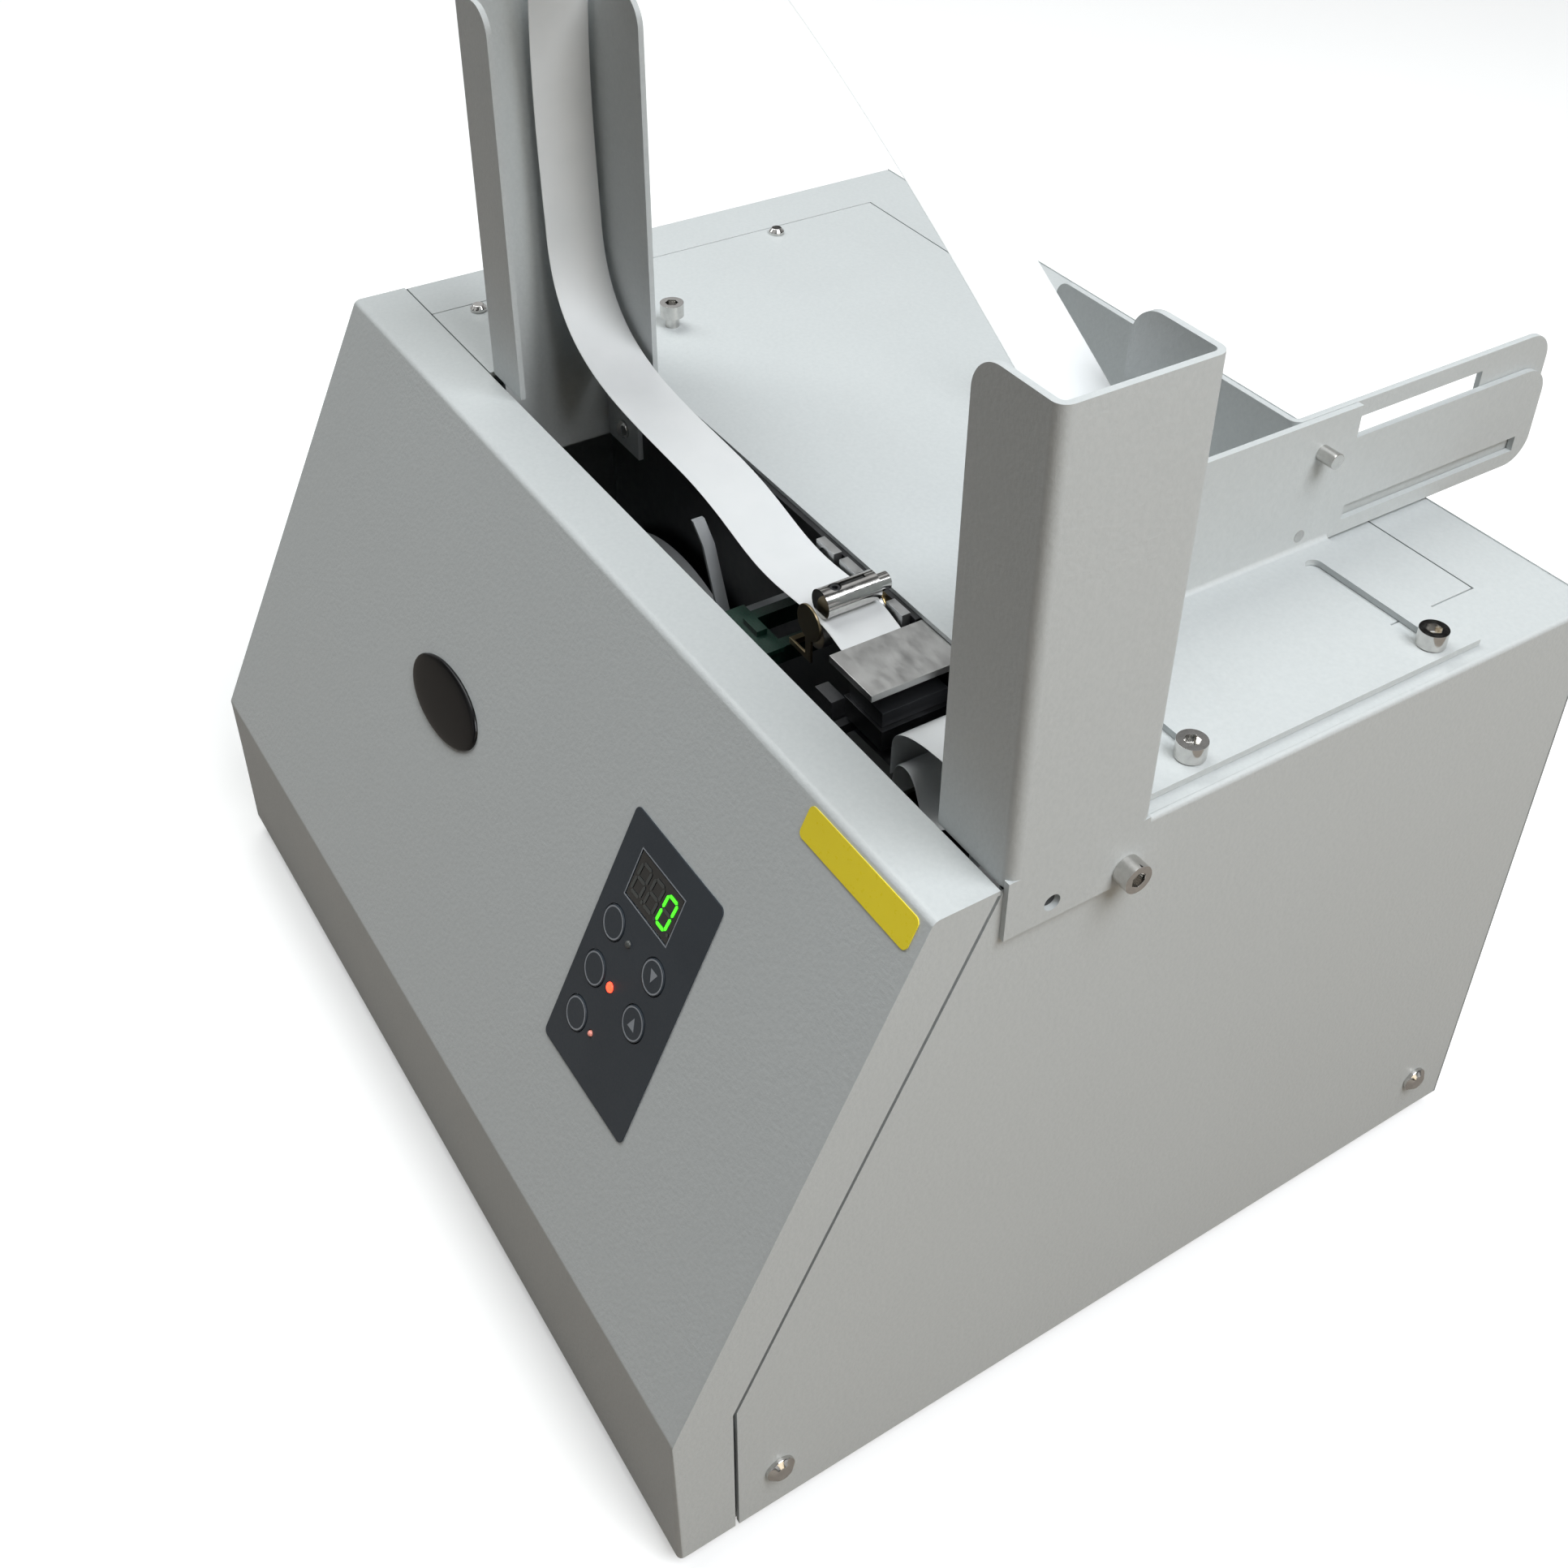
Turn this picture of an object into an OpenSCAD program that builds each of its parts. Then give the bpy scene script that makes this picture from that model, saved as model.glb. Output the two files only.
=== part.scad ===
// Bench-top banknote strapping machine: sheet-steel body, tape arch, tape feed and bonding head.
// Millimetres. Origin: middle of the footprint on the surface the feet rest on.
// X runs to the operator's right, Y to the back, Z up.

/* [Body] */
// Width of the body
body_w = 360; // [345:1:400]
// Depth of the body
body_d = 308; // [295:1:340]
// Height of the body without its feet
body_h = 216; // [206:1:240]
// Height of the rubber feet that shows under the body
foot_h = 8; // [5:0.5:14]
// Thickness of the body's sheet steel
sheet_t = 1.5; // [1.2:0.1:1.8]
// Width of the seams between sheets
seam = 0.5; // [0.4:0.1:0.8]
// Inside radius of the sheet bends
bend_r = 1.5; // [1:0.5:3]

/* [Front cover] */
// Height of the upright band along the bottom
band_h = 60; // [50:1:70]
// Depth at which the slope meets the top
slope_d = 74; // [68:1:80]
// Depth of the flat strip along the top
strip_d = 19; // [17:0.5:21]
// Depth of the side returns
return_d = 18.4; // [16:0.1:20]
// Wide gap beside the band that lets the cover swing
swing_gap = 1.2; // [1:0.1:2]
// Distance of the hinge pin behind the band's face
hinge_y = 6; // [5:0.5:7]
// Height of the hinge pin above the bottom edge
hinge_z = 4; // [3.5:0.5:5]
// Radius of the hinge pin
hinge_r = 2; // [1.5:0.1:2.5]

/* [Tape] */
// Width of the paper tape
tape_w = 20; // [18:0.5:22]
// Thickness of the paper tape
tape_t = 0.3; // [0.2:0.05:0.4]
// Distance of the tape's middle behind the front of the body
tape_y = 124; // [122:0.5:124.5]
// Height of the arch's top over the deck
arch_h = 188; // [180:1:200]

/* [Tape slot] */
// Distance of the deck's front edge behind the front of the body
deck_y = 139; // [139:0.5:142]
// Distance of the slot's closed end from the left side
slot_x = 74.2; // [70:0.5:76]
// Width of the rim round the deck
rim_w = 24.3; // [22:0.5:26]

/* [Tape channels] */
// Thickness of the channel steel
channel_t = 1.8; // [1.5:0.1:2]
// Distance of the channels' front faces behind the front of the body
channel_y = 93.8; // [93.6:0.1:94.4]
// Depth of the channels, front face to rear face
channel_d = 43.9; // [43.5:0.1:44.5]
// Height of the channels over the deck
channel_h = 130; // [120:1:140]
// Width of the right channel's flanges
right_flange = 28; // [22:1:32]
// Width of the left channel's front flange
left_flange = 24; // [20:1:28]
// Width of the left channel's rear flange
left_flange_rear = 38; // [30:1:40]
// Depth of the right channel's tab below the deck
tab_h = 16; // [14:1:20]

/* [Side guide] */
// Thickness of the guide's steel
guide_t = 2; // [1.5:0.1:2.2]
// Distance of the fence's face from the right side
fence_x = 63.6; // [60:0.5:70]
// Distance of the base plate's edge from the right side
guide_edge = 5; // [4:0.5:8]
// Distance of the guide's front end behind the front of the body
guide_y = 142; // [142:0.5:150]
// Depth of the guide's base plate
guide_d = 120.5; // [115:0.5:124]
// Height of the fence over the deck
fence_h = 46; // [42:0.5:50]
// Height of the fence's rear arm over the deck
arm_h = 35.2; // [33:0.1:37]
// Distance of the arm's end behind the front of the body
arm_end = 350; // [340:1:360]
// Length of the clamp slots
slot_l = 49.4; // [46:0.2:52]
// Width of the clamp slots
slot_w = 5.6; // [5.5:0.1:5.8]
// Travel of the side guide
guide_travel = 40; // [30:1:42]

/* [Rear stop] */
// Distance of the stop's face behind the front of the body
stop_y = 242.3; // [230:0.5:244]
// Reach of the stop's face from the fence
stop_w = 106; // [90:1:115]
// Travel of the rear stop towards the front
stop_in = 60; // [40:1:70]

/* [Fasteners] */
// Radius of an M5 socket head
cap_r = 4.25; // [4:0.05:4.5]
// Height of an M5 socket head
cap_h = 5; // [4.5:0.1:5.5]
// Radius of an M5 thread
m5_r = 2.5; // [2.4:0.05:2.55]
// Radius of a dome head
dome_r = 3; // [2.8:0.1:3.6]
// Radius of a button head on the side
button_r = 4.6; // [4:0.1:5]

/* [Control panel] */
// Width of the panel's overlay
panel_w = 47.6; // [46:0.2:50]
// Height of the panel's overlay
panel_l = 81; // [76:0.5:84]
// Distance of the panel's middle from the right side
panel_x = 86.2; // [84:0.2:100]
// Distance of the panel's lower edge above the band's crease
panel_s = 46.6; // [40:0.2:50]
// Radius of a key
key_r = 5.2; // [4.8:0.1:5.4]
// Travel of a key
key_travel = 0.4; // [0.3:0.05:0.5]

/* [Feed] */
// Radius of the feed roller
roller_r = 5.5; // [5.2:0.1:5.6]
// Radius of the guide post
post_r = 4.5; // [4:0.1:4.8]
// Teeth on the roller's gear
roller_teeth = 10; // [10:1:10]
// Teeth on the feed motor's gear
motor_teeth = 30; // [30:1:30]
// Module of both gears
gear_m = 0.8; // [0.78:0.01:0.8]
// Radius of the full tape reel
reel_r = 68; // [50:1:70]

/* [Bonding head] */
// Lift of the press head
press_lift = 6; // [4:0.5:6]
// Turn of the cam that gives the lift
cam_turn = 120; // [100:5:140]
// Travel of the anvil plate
anvil_travel = 29; // [26:0.5:30]
// Smallest radius of the cam
cam_r = 14; // [12:0.5:16]

/* [Hidden] */
$fn = 48;

running = 0.05;      // radial clearance of a shaft in its hole
gap = 0.3;           // clearance between bodies that pass each other
xr = body_w / 2;
xl = -xr;
yf = -body_d / 2;
yb = -yf;
z0 = foot_h;
zt = foot_h + body_h;
slope_a = atan2(body_h - band_h, slope_d);
cover_y = slope_d + strip_d;
seam_knee = body_h - (cover_y - return_d) * (body_h - band_h) / slope_d;
inner_w = body_w - 2 * sheet_t;
plate_y = deck_y - 1.3;
plate_t = 4;
rim_x = xr - rim_w;
deck_t = sheet_t;
under_deck = body_h - deck_t;
slot_left = xl + slot_x;

white = "#d9dcdb";
steel = "#b9bcc0";
dark = "#2b2d30";

// unit vector and the left-hand normal of a direction
function unit(v) = v / norm(v);
function left_of(v) = unit([-v[1], v[0]]);
// points of the arc that rounds corner b between a and c
function round_corner(a, b, c, r, n = 5) =
    let (u = unit(a - b), w = unit(c - b), half = acos(u * w) / 2,
         m = b + unit(u + w) * r / sin(half),
         s = b + u * r / tan(half) - m, e = b + w * r / tan(half) - m,
         a0 = atan2(s[1], s[0]), turn = ((atan2(e[1], e[0]) - a0 + 540) % 360) - 180)
    [for (i = [0:n]) m + r * [cos(a0 + turn * i / n), sin(a0 + turn * i / n)]];
function rounded_path(p, r) = concat([p[0]],
    [for (i = [1:len(p) - 2]) each round_corner(p[i - 1], p[i], p[i + 1], r)], [p[len(p) - 1]]);
// the path's point i moved t to its left, mitred between its neighbours
function beside(p, i, t) =
    let (n = len(p), a = left_of(i == 0 ? p[1] - p[0] : p[i] - p[i - 1]),
         b = left_of(i == n - 1 ? p[n - 1] - p[n - 2] : p[i + 1] - p[i]), m = unit(a + b))
    p[i] + m * t / (m * a);
// a cubic curve's points, without its first
function curve(a, b, c, d, n = 10) = [for (i = [1:n]) let (t = i / n, s = 1 - t)
    s * s * s * a + 3 * s * s * t * b + 3 * s * t * t * c + t * t * t * d];

module band(p, t) { polygon(concat(p, [for (i = [len(p) - 1:-1:0]) beside(p, i, t)])); }
module along_x(a, b) { translate([a, 0, 0]) rotate([90, 0, 90]) linear_extrude(b - a) children(); }
module along_y(a, b) { translate([0, b, 0]) rotate([90, 0, 0]) linear_extrude(b - a) children(); }
// places in the body's own terms: x from the middle, y behind the front, z over the bottom
module at(x, y, z) { translate([x, yf + y, z0 + z]) children(); }
module box(x, y, z) {
    translate([x[0], yf + y[0], z0 + z[0]]) cube([x[1] - x[0], y[1] - y[0], z[1] - z[0]]);
}
module rod_y(x, z, r, y) { at(x, y[1], z) rotate([90, 0, 0]) cylinder(r = r, h = y[1] - y[0]); }
module rod_x(y, z, r, x) { at(x[0], y, z) rotate([0, 90, 0]) cylinder(r = r, h = x[1] - x[0]); }
// places on the sloping front: x from the middle, s up the slope from the crease, d outwards
module on_slope(x, s, d = 0) { at(x, 0, band_h) rotate([slope_a, 0, 0]) translate([0, s, d]) children(); }
// a socket head screw pointing down: head on the plane, thread below
module cap_screw(thread) {
    difference() {
        cylinder(r = cap_r, h = cap_h);
        translate([0, 0, cap_h - 2.5]) cylinder(r = 2.3, h = 3, $fn = 6);
    }
    translate([0, 0, -thread]) cylinder(r = m5_r, h = thread);
}
// a low domed head on the plane, with its thread below
module dome_screw(r, high, thread, thread_r) {
    cylinder(r = r, h = high * 0.45);
    translate([0, 0, high * 0.45]) cylinder(r1 = r, r2 = r * 0.62, h = high * 0.55, $fn = 32);
    translate([0, 0, -thread]) cylinder(r = thread_r, h = thread);
}

// ---------------------------------------------------------------- body
pan_front = 12;
pan_gap = 0.7;
flange_h = 26;
side_screw_y = [33, body_d - 17];
side_screw_z = 18;
screw_r = 2;

module side_bores(r, x) {
    for (y = side_screw_y) rod_x(y, side_screw_z, r, x);
}

module base_pan() {
    color(white) difference() {
        union() {
            box([xl + sheet_t + pan_gap, xr - sheet_t - pan_gap], [pan_front, body_d - sheet_t],
                [0, sheet_t]);
            for (s = [-1, 1]) {
                x = s * (inner_w / 2 - sheet_t / 2);
                box([x - sheet_t / 2, x + sheet_t / 2],
                    [return_d + swing_gap + 2, body_d - sheet_t], [0, flange_h]);
            }
            box([xl + sheet_t, xr - sheet_t], [body_d - 2 * sheet_t, body_d - sheet_t], [0, flange_h]);
        }
        for (x = panel_screw_x) rod_y(x, panel_screw_z[0], screw_r, [body_d - 6, body_d]);
        side_bores(screw_r, [xl, xr]);
        foot_places() cylinder(r = foot_pin_r, h = 40, center = true);
    }
}

foot_r = 11;
foot_pin_r = 3;
foot_in = 40;
module foot_places() {
    for (x = [xl + foot_in, xr - foot_in], y = [foot_in, body_d - foot_in])
        translate([x, yf + y, 0]) children();
}
module rubber_feet() {
    color(dark) foot_places() {
        cylinder(r1 = foot_r - 1.5, r2 = foot_r, h = foot_h);
        translate([0, 0, foot_h]) cylinder(r = foot_pin_r, h = sheet_t);
        translate([0, 0, foot_h + sheet_t]) cylinder(r = foot_pin_r + 1.5, h = 1.5);
    }
    // stick-on foot under the middle of the pan
    color(dark) cylinder(r1 = foot_r - 1.5, r2 = foot_r, h = foot_h);
}

module side_profile(y) {
    polygon([[yf + return_d + swing_gap, z0], [yf + return_d + swing_gap, z0 + seam_knee],
        [yf + cover_y + seam, zt - sheet_t], [yf + cover_y + seam, zt], [yf + y, zt],
        [yf + y, z0]]);
}
deck_left = xl + rim_w;
deck_back = body_d - rim_w - 1;

module housing_shell() {
    color(white) difference() {
        along_x(xl, xr) side_profile(body_d);
        translate([0, 0, -sheet_t]) along_x(xl + sheet_t, xr - sheet_t) translate([yf - 50, -50])
            square([body_d * 2, body_h + foot_h + 50]);
        deck_area(0);
        box([slot_left - 5, xr - sheet_t], [0, deck_y], [under_deck - 1, body_h + 1]);
        side_bores(screw_r + 0.2, [xl - 1, xr + 1]);
        rod_x(tab_screw_y, tab_screw_z, m5_r, [0, xr + 1]);
        for (y = clamp_y) at(clamp_x, y, under_deck - 1) cylinder(r = m5_r, h = 6);
    }
}
// the deck's outline: the main field and its forward part beside the slot
module deck_area(shrink) {
    z = shrink > 0 ? [under_deck, body_h] : [under_deck - 1, body_h + 1];
    box([deck_left + shrink, rim_x - shrink], [deck_y + shrink, deck_back - shrink], z);
    box([deck_left + shrink, slot_left], [cover_y + seam, deck_y + 1 + shrink], z);
}
deck_screw_at = [[xl + 30, cover_y + 16], [xl + 30, deck_back - 48]];

module deck_plate() {
    color(white) difference() {
        deck_area(seam);
        for (p = deck_screw_at) at(p[0], p[1], 0) cylinder(r = screw_r, h = body_h + 1);
        at(stop_screw[0], stop_screw[1], 0) cylinder(r = m5_r, h = body_h + 1);
    }
}

ledge_w = 16;
module deck_ledges() {
    z = [under_deck - sheet_t, under_deck];
    color(white) difference() {
        union() {
            box([deck_left - 6, deck_left + ledge_w], [cover_y + 4, deck_back + 6], z);
            box([rim_x - ledge_w, rim_x + 6], [deck_y + 8, deck_back + 6], z);
            box([xl + sheet_t, xr - sheet_t], [deck_back - ledge_w, body_d - sheet_t], z);
            box([xl + sheet_t, xr - sheet_t], [body_d - 2 * sheet_t, body_d - sheet_t],
                [panel_screw_z[1] - 8, under_deck]);
        }
        for (x = panel_screw_x) rod_y(x, panel_screw_z[1], screw_r, [body_d - 6, body_d]);
        for (p = deck_screw_at) at(p[0], p[1], 0) cylinder(r = screw_r, h = body_h);
    }
}
module deck_screws() {
    color(steel) {
        for (p = deck_screw_at) at(p[0], p[1], body_h)
            dome_screw(dome_r, 2.4, deck_t + sheet_t, screw_r);
        at(stop_screw[0], stop_screw[1], body_h + stop_rise) cap_screw(stop_rise + deck_t);
    }
}
stop_screw = [slot_left + 1.8, deck_y + 24];
stop_rise = 4;

module side_screws() {
    color(steel) for (s = [-1, 1], y = side_screw_y)
        at(s * xr, y, side_screw_z) rotate([0, s * 90, 0])
            dome_screw(button_r, 2.6, 2 * sheet_t, screw_r);
}

inlet_x = xl + 60;
switch_x = inlet_x + 48;
fuse_x = switch_x + 34;
rear_z = 42;
panel_screw_x = [xl + 12, 0, xr - 12];
panel_screw_z = [14, body_h - 14];
module rear_panel() {
    y = [body_d - sheet_t, body_d];
    color(white) difference() {
        box([xl + sheet_t, xr - sheet_t], y, [0, under_deck]);
        box([inlet_x - inlet_w / 2, inlet_x + inlet_w / 2], [body_d - 5, body_d + 5],
            [rear_z - inlet_h / 2, rear_z + inlet_h / 2]);
        box([switch_x - switch_w / 2, switch_x + switch_w / 2], [body_d - 5, body_d + 5],
            [rear_z - switch_h / 2, rear_z + switch_h / 2]);
        rod_y(fuse_x, rear_z, fuse_r, [body_d - 5, body_d + 5]);
        for (i = [0:vent_n - 1]) box([vent_x, vent_x + vent_l], [body_d - 5, body_d + 5],
            [vent_z + i * vent_step, vent_z + i * vent_step + vent_w]);
        for (x = panel_screw_x, z = panel_screw_z) rod_y(x, z, screw_r, [body_d - 5, body_d + 5]);
    }
}
vent_n = 8;
vent_x = 60;
vent_l = 70;
vent_z = 60;
vent_step = 9;
vent_w = 3;
module rear_screws() {
    color(steel) for (x = panel_screw_x, z = panel_screw_z)
        at(x, body_d, z) rotate([-90, 0, 0]) dome_screw(dome_r, 2.2, 2 * sheet_t, screw_r);
}

bracket_x = inner_w / 2 - 2.4;
module hinge_brackets() {
    color(steel) for (s = [-1, 1]) along_x(s * bracket_x - 1.5, s * bracket_x + 1.5)
        translate([yf, z0]) difference() {
            union() {
                translate([hinge_y, hinge_z]) circle(r = hinge_z - 0.1);
                polygon([[hinge_y, 0.1], [pan_front, 0.1], [pan_front, sheet_t],
                    [pan_front + 9, sheet_t], [pan_front + 9, 7.8], [hinge_y, 2 * hinge_z - 0.1]]);
            }
            translate([hinge_y, hinge_z]) circle(r = hinge_r + running);
        }
}
catch_y = [78, 104];
module cover_catches() {
    z = [body_h - sheet_t - gap - 9, body_h - sheet_t - gap];
    color(dark) for (s = [-1, 1]) mirror([s < 0 ? 1 : 0, 0, 0]) {
        box([inner_w / 2 - 9, inner_w / 2 - gap], catch_y, z);
        box([inner_w / 2 - gap, inner_w / 2], [cover_y + 3, catch_y[1]], z);
    }
}

// ---------------------------------------------------------------- channels
channel_back = channel_y + channel_d;
tab_screw_y = channel_back - 6.7;
tab_screw_z = body_h - 11;
module flange_plate(x, y, z, corner, side) {
    // upright plate with one rounded upper corner, side +1 at its right end, -1 at its left
    along_y(yf + y[0], yf + y[1]) translate([0, z0]) polygon(concat(
        side > 0 ? [[x[0], z[0]], [x[1], z[0]]] : [[x[1], z[1]], [x[0], z[0]], [x[1], z[0]]],
        side > 0 ? concat(round_corner([x[1], z[0]], [x[1], z[1]], [x[0], z[1]], corner), [[x[0], z[1]]])
            : []));
}
// flanged sheet channel in plan, the web at x0, opening towards dir
module channel_plan(x0, dir, front, rear) {
    y = [yf + channel_y, yf + channel_back];
    p = rounded_path([[x0 + dir * front, y[0]], [x0, y[0]], [x0, y[1]], [x0 + dir * rear, y[1]]],
        bend_r + channel_t);
    band(p, dir > 0 ? -channel_t : channel_t);
}
module channel_corners(x0, dir, front, rear, top) {
    // what is cut away to round the flanges' free upper corners
    for (f = [[front, channel_y], [rear, channel_back - channel_t]])
        along_y(yf + f[1] - 1, yf + f[1] + channel_t + 1) difference() {
            translate([min(x0 + dir * (f[0] - corner_r), x0 + dir * (f[0] + 1)), top - corner_r])
                square([corner_r + 1, corner_r + 1]);
            translate([x0 + dir * (f[0] - corner_r), top - corner_r]) circle(r = corner_r);
        }
}
corner_r = 9;
module left_channel() {
    x = slot_left;
    color(white) difference() {
        union() {
            translate([0, 0, zt + 1]) linear_extrude(channel_h - 1)
                channel_plan(x, 1, left_flange, left_flange_rear);
            box([x, x + channel_t], [channel_y + 4, channel_back], [body_h - 36, body_h + 1]);
            box([x, x + 24], [plate_y - channel_t, plate_y], [body_h - 36, body_h - 6]);
        }
        channel_corners(x, 1, left_flange, left_flange_rear, zt + channel_h);
        for (z = [body_h - 28, body_h - 14]) rod_y(x + 14, z, screw_r, [plate_y - 5, plate_y + 5]);
    }
}
right_x = xr + channel_t;
module right_channel() {
    color(white) difference() {
        union() {
            translate([0, 0, zt + rest_gap]) linear_extrude(channel_h - rest_gap)
                channel_plan(right_x, -1, right_flange, right_flange);
            box([xr, right_x], [channel_y, channel_back - 0.6], [body_h - tab_h, body_h + 3]);
        }
        channel_corners(right_x, -1, right_flange, right_flange, zt + channel_h);
        rod_x(tab_screw_y, tab_screw_z, m5_r, [0, xr + 5]);
        rod_x(tab_screw_y - 23, tab_screw_z + 0.5, m5_r, [0, xr + 5]);
    }
}
module channel_screws() {
    color(steel) {
        at(right_x, tab_screw_y, tab_screw_z) rotate([0, 90, 0])
            cap_screw(channel_t + sheet_t);
        for (z = [body_h - 28, body_h - 14]) at(slot_left + 14, plate_y - channel_t, z)
            rotate([90, 0, 0]) dome_screw(3.4, 2.2, channel_t + 3, screw_r);
    }
}

// ---------------------------------------------------------------- side guide and rear stop
clamp_y = [guide_y + 19, guide_y + 107];
clamp_slot = xr - guide_edge - 3.1;
clamp_x = clamp_slot - slot_w / 2;
guide_right = xr - guide_edge;
fence_face = xr - fence_x;
arm_split = guide_y + 124.6;
arm_slot_z = 9;
stud_y = guide_y + 110.9;
stud_z = 34.6;
pin_z = 6.7;
lift = 1.5;
rest_gap = 0.2;

module side_guide() {
    color(white) difference() {
        union() {
            // base plate and fence folded from one sheet
            along_y(yf + guide_y, yf + guide_y + guide_d) translate([0, zt + rest_gap]) band(
                rounded_path([[guide_right, guide_t], [fence_face, guide_t],
                    [fence_face, fence_h - rest_gap]], bend_r), guide_t);
            box([fence_face - guide_t, fence_face], [guide_y + guide_d, arm_split],
                [body_h + lift, body_h + fence_h]);
            box([fence_face - guide_t, fence_face], [arm_split, arm_end - corner_r],
                [body_h + lift, body_h + arm_h]);
            along_x(fence_face - guide_t, fence_face) translate([yf, zt])
                arm_end_shape(arm_end, lift, arm_h);
        }
        for (y = clamp_y) clamp_slot_cut(y);
        box([fence_face - guide_t - 1, fence_face + 1], [arm_split + 1, arm_end - 7],
            [body_h + arm_slot_z - 2.6, body_h + arm_slot_z + 2.6]);
        rod_x(stud_y, body_h + stud_z, m5_r, [fence_face - guide_t - 1, fence_face + 1]);
        rod_x(stud_y - 2.5, body_h + pin_z, 2, [fence_face - guide_t - 1, fence_face + 1]);
    }
}
module arm_end_shape(end, low, high) {
    translate([end - corner_r - 0.01, low + corner_r]) square([corner_r + 0.01, high - low - 2 * corner_r]);
    intersection() {
        translate([end - corner_r - 0.01, low]) square([corner_r + 0.01, high - low]);
        union() {
            translate([end - corner_r, low + corner_r]) circle(r = corner_r);
            translate([end - corner_r, high - corner_r]) circle(r = corner_r);
        }
    }
}
module clamp_slot_cut(y) {
    at(0, y, body_h - 1) linear_extrude(guide_t + 2) {
        translate([clamp_slot - slot_l + slot_w / 2, -slot_w / 2]) square([slot_l - slot_w, slot_w]);
        for (x = [clamp_slot - slot_w / 2, clamp_slot - slot_l + slot_w / 2])
            translate([x, 0]) circle(r = slot_w / 2);
    }
}
module clamp_screws() {
    z = guide_t + rest_gap + gap;
    color(steel) for (y = clamp_y) at(clamp_x, y, body_h + z) cap_screw(z + deck_t);
}
module guide_studs() {
    x = fence_face;
    color(steel) {
        rod_x(stud_y, body_h + stud_z, m5_r, [x - 2 * guide_t - 2 * gap, x + 6]);
        rod_x(stud_y, body_h + stud_z, cap_r + 1.8, [x - 2 * guide_t - 2 * gap - 3, x - 2 * guide_t - 2 * gap]);
        rod_x(stud_y - 2.5, body_h + pin_z, 2, [x - guide_t, x + 0.2]);
    }
}
stop_left = fence_face - guide_t - gap - stop_w;
module rear_stop() {
    x = fence_face - guide_t - gap;
    slot_low = stud_z - m5_r - 0.3;
    slot_high = stud_z + 5.5;
    color(white) difference() {
        union() {
            translate([0, 0, zt + lift]) linear_extrude(fence_h - lift) band(rounded_path(
                [[stop_left, yf + stop_y], [x, yf + stop_y], [x, yf + arm_end + 1 - corner_r]],
                bend_r + guide_t), guide_t);
            along_x(x - guide_t, x) translate([yf, zt]) arm_end_shape(arm_end + 1, lift, fence_h);
        }
        // the slot the stud clamps in
        box([x - guide_t - 1, x + 1], [stud_y - m5_r - 1, stud_y + stop_in + 8],
            [body_h + slot_low, body_h + slot_high]);
        // rounded free upper corner of the stop's face
        along_y(yf + stop_y - 5, yf + stop_y + 5) difference() {
            translate([stop_left - 1, zt + fence_h - 6]) square([7, 7]);
            translate([stop_left + 6, zt + fence_h - 6]) circle(r = 6);
        }
    }
}

// ---------------------------------------------------------------- mechanism
feed = [65, body_h - 7.5];
gear_gap = gear_m * (roller_teeth + motor_teeth) / 2;
drive = [feed[0], feed[1] - gear_gap];
nip = feed[1] + roller_r + 0.25;
post = [feed[0] + 2.5, nip + tape_t + 0.25 + post_r];
anvil_x = [82.7, 103.5];
anvil_y = deck_y - 30.6;
anvil_top = under_deck - gap;
anvil_t = 2.3;
anvil_low = anvil_top - anvil_t;
press_x = (anvil_x[0] + anvil_x[1]) / 2;
cam_z = body_h - 66;
press_top = anvil_low - 2 - press_lift;
cam_clear = 0.6;
stem_r = 6;
shaft_r = 4;
reel = [-48, 92];
tape_front = tape_y - tape_w / 2;
tape_back = tape_y + tape_w / 2;
solenoid_y = plate_y + 62;
rod_z = anvil_low - 9;

module mechanism_plate() {
    color(steel) difference() {
        union() {
            box([slot_left, 150], [plate_y, plate_y + plate_t], [sheet_t, under_deck]);
            box([slot_left, 150], [plate_y + plate_t, plate_y + 24], [sheet_t, sheet_t + 3]);
        }
        rod_y(feed[0], feed[1], 5, [plate_y - 1, plate_y + 5]);
        rod_y(drive[0], drive[1], 9, [plate_y - 1, plate_y + 5]);
        rod_y(press_x, cam_z, shaft_r + running, [plate_y - 1, plate_y + 5]);
        box([anvil_x[0] - 0.5, anvil_x[1] + 0.5], [plate_y - 1, plate_y + 5],
            [anvil_low - gap, body_h]);
        for (z = [body_h - 28, body_h - 14])
            rod_y(slot_left + 14, z, screw_r, [plate_y - 1, plate_y + 5]);
        for (p = turn_pins) rod_y(p[0], p[1], 2, [plate_y - 1, plate_y + 5]);
        rod_y(reel[0], reel[1], 3, [plate_y - 1, plate_y + 5]);
    }
}
module guide_post() {
    color(steel) difference() {
        union() {
            rod_y(post[0], post[1], post_r, [tape_front + 1.3, tape_back - 0.8]);
            rod_y(post[0], post[1], post_r - 1.8, [tape_back - 0.8, plate_y]);
        }
        box([post[0] - 0.8, post[0] + 0.8], [tape_front + 6, tape_back - 4],
            [post[1] + post_r - 2, post[1] + 9]);
        at(post[0], tape_front + 6, post[1]) cylinder(r = 1.9, h = 9);
    }
}
module guide_blocks() {
    y = [tape_back + 0.8, plate_y];
    z = [body_h - 14, body_h - 0.6];
    color(steel) difference() {
        union() {
            box([35, 44.5], y, z);
            box([47.5, 56], y, z);
            box([anvil_x[0] - 11, anvil_x[0] - 3], y, z);
        }
        rod_y(39.8, body_h - 4.8, 3.3, [y[0] - 1, y[0] + 1.2]);
    }
    color(steel) difference() {
        rod_y(39.8, body_h - 4.8, 3.1, [y[0] + 0.4, y[0] + 1.2]);
        translate([39.8, yf + y[0] - 1, z0 + body_h - 4.8]) rotate([-90, 0, 0])
            cylinder(r = 1.7, h = 2, $fn = 6);
    }
}
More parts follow.
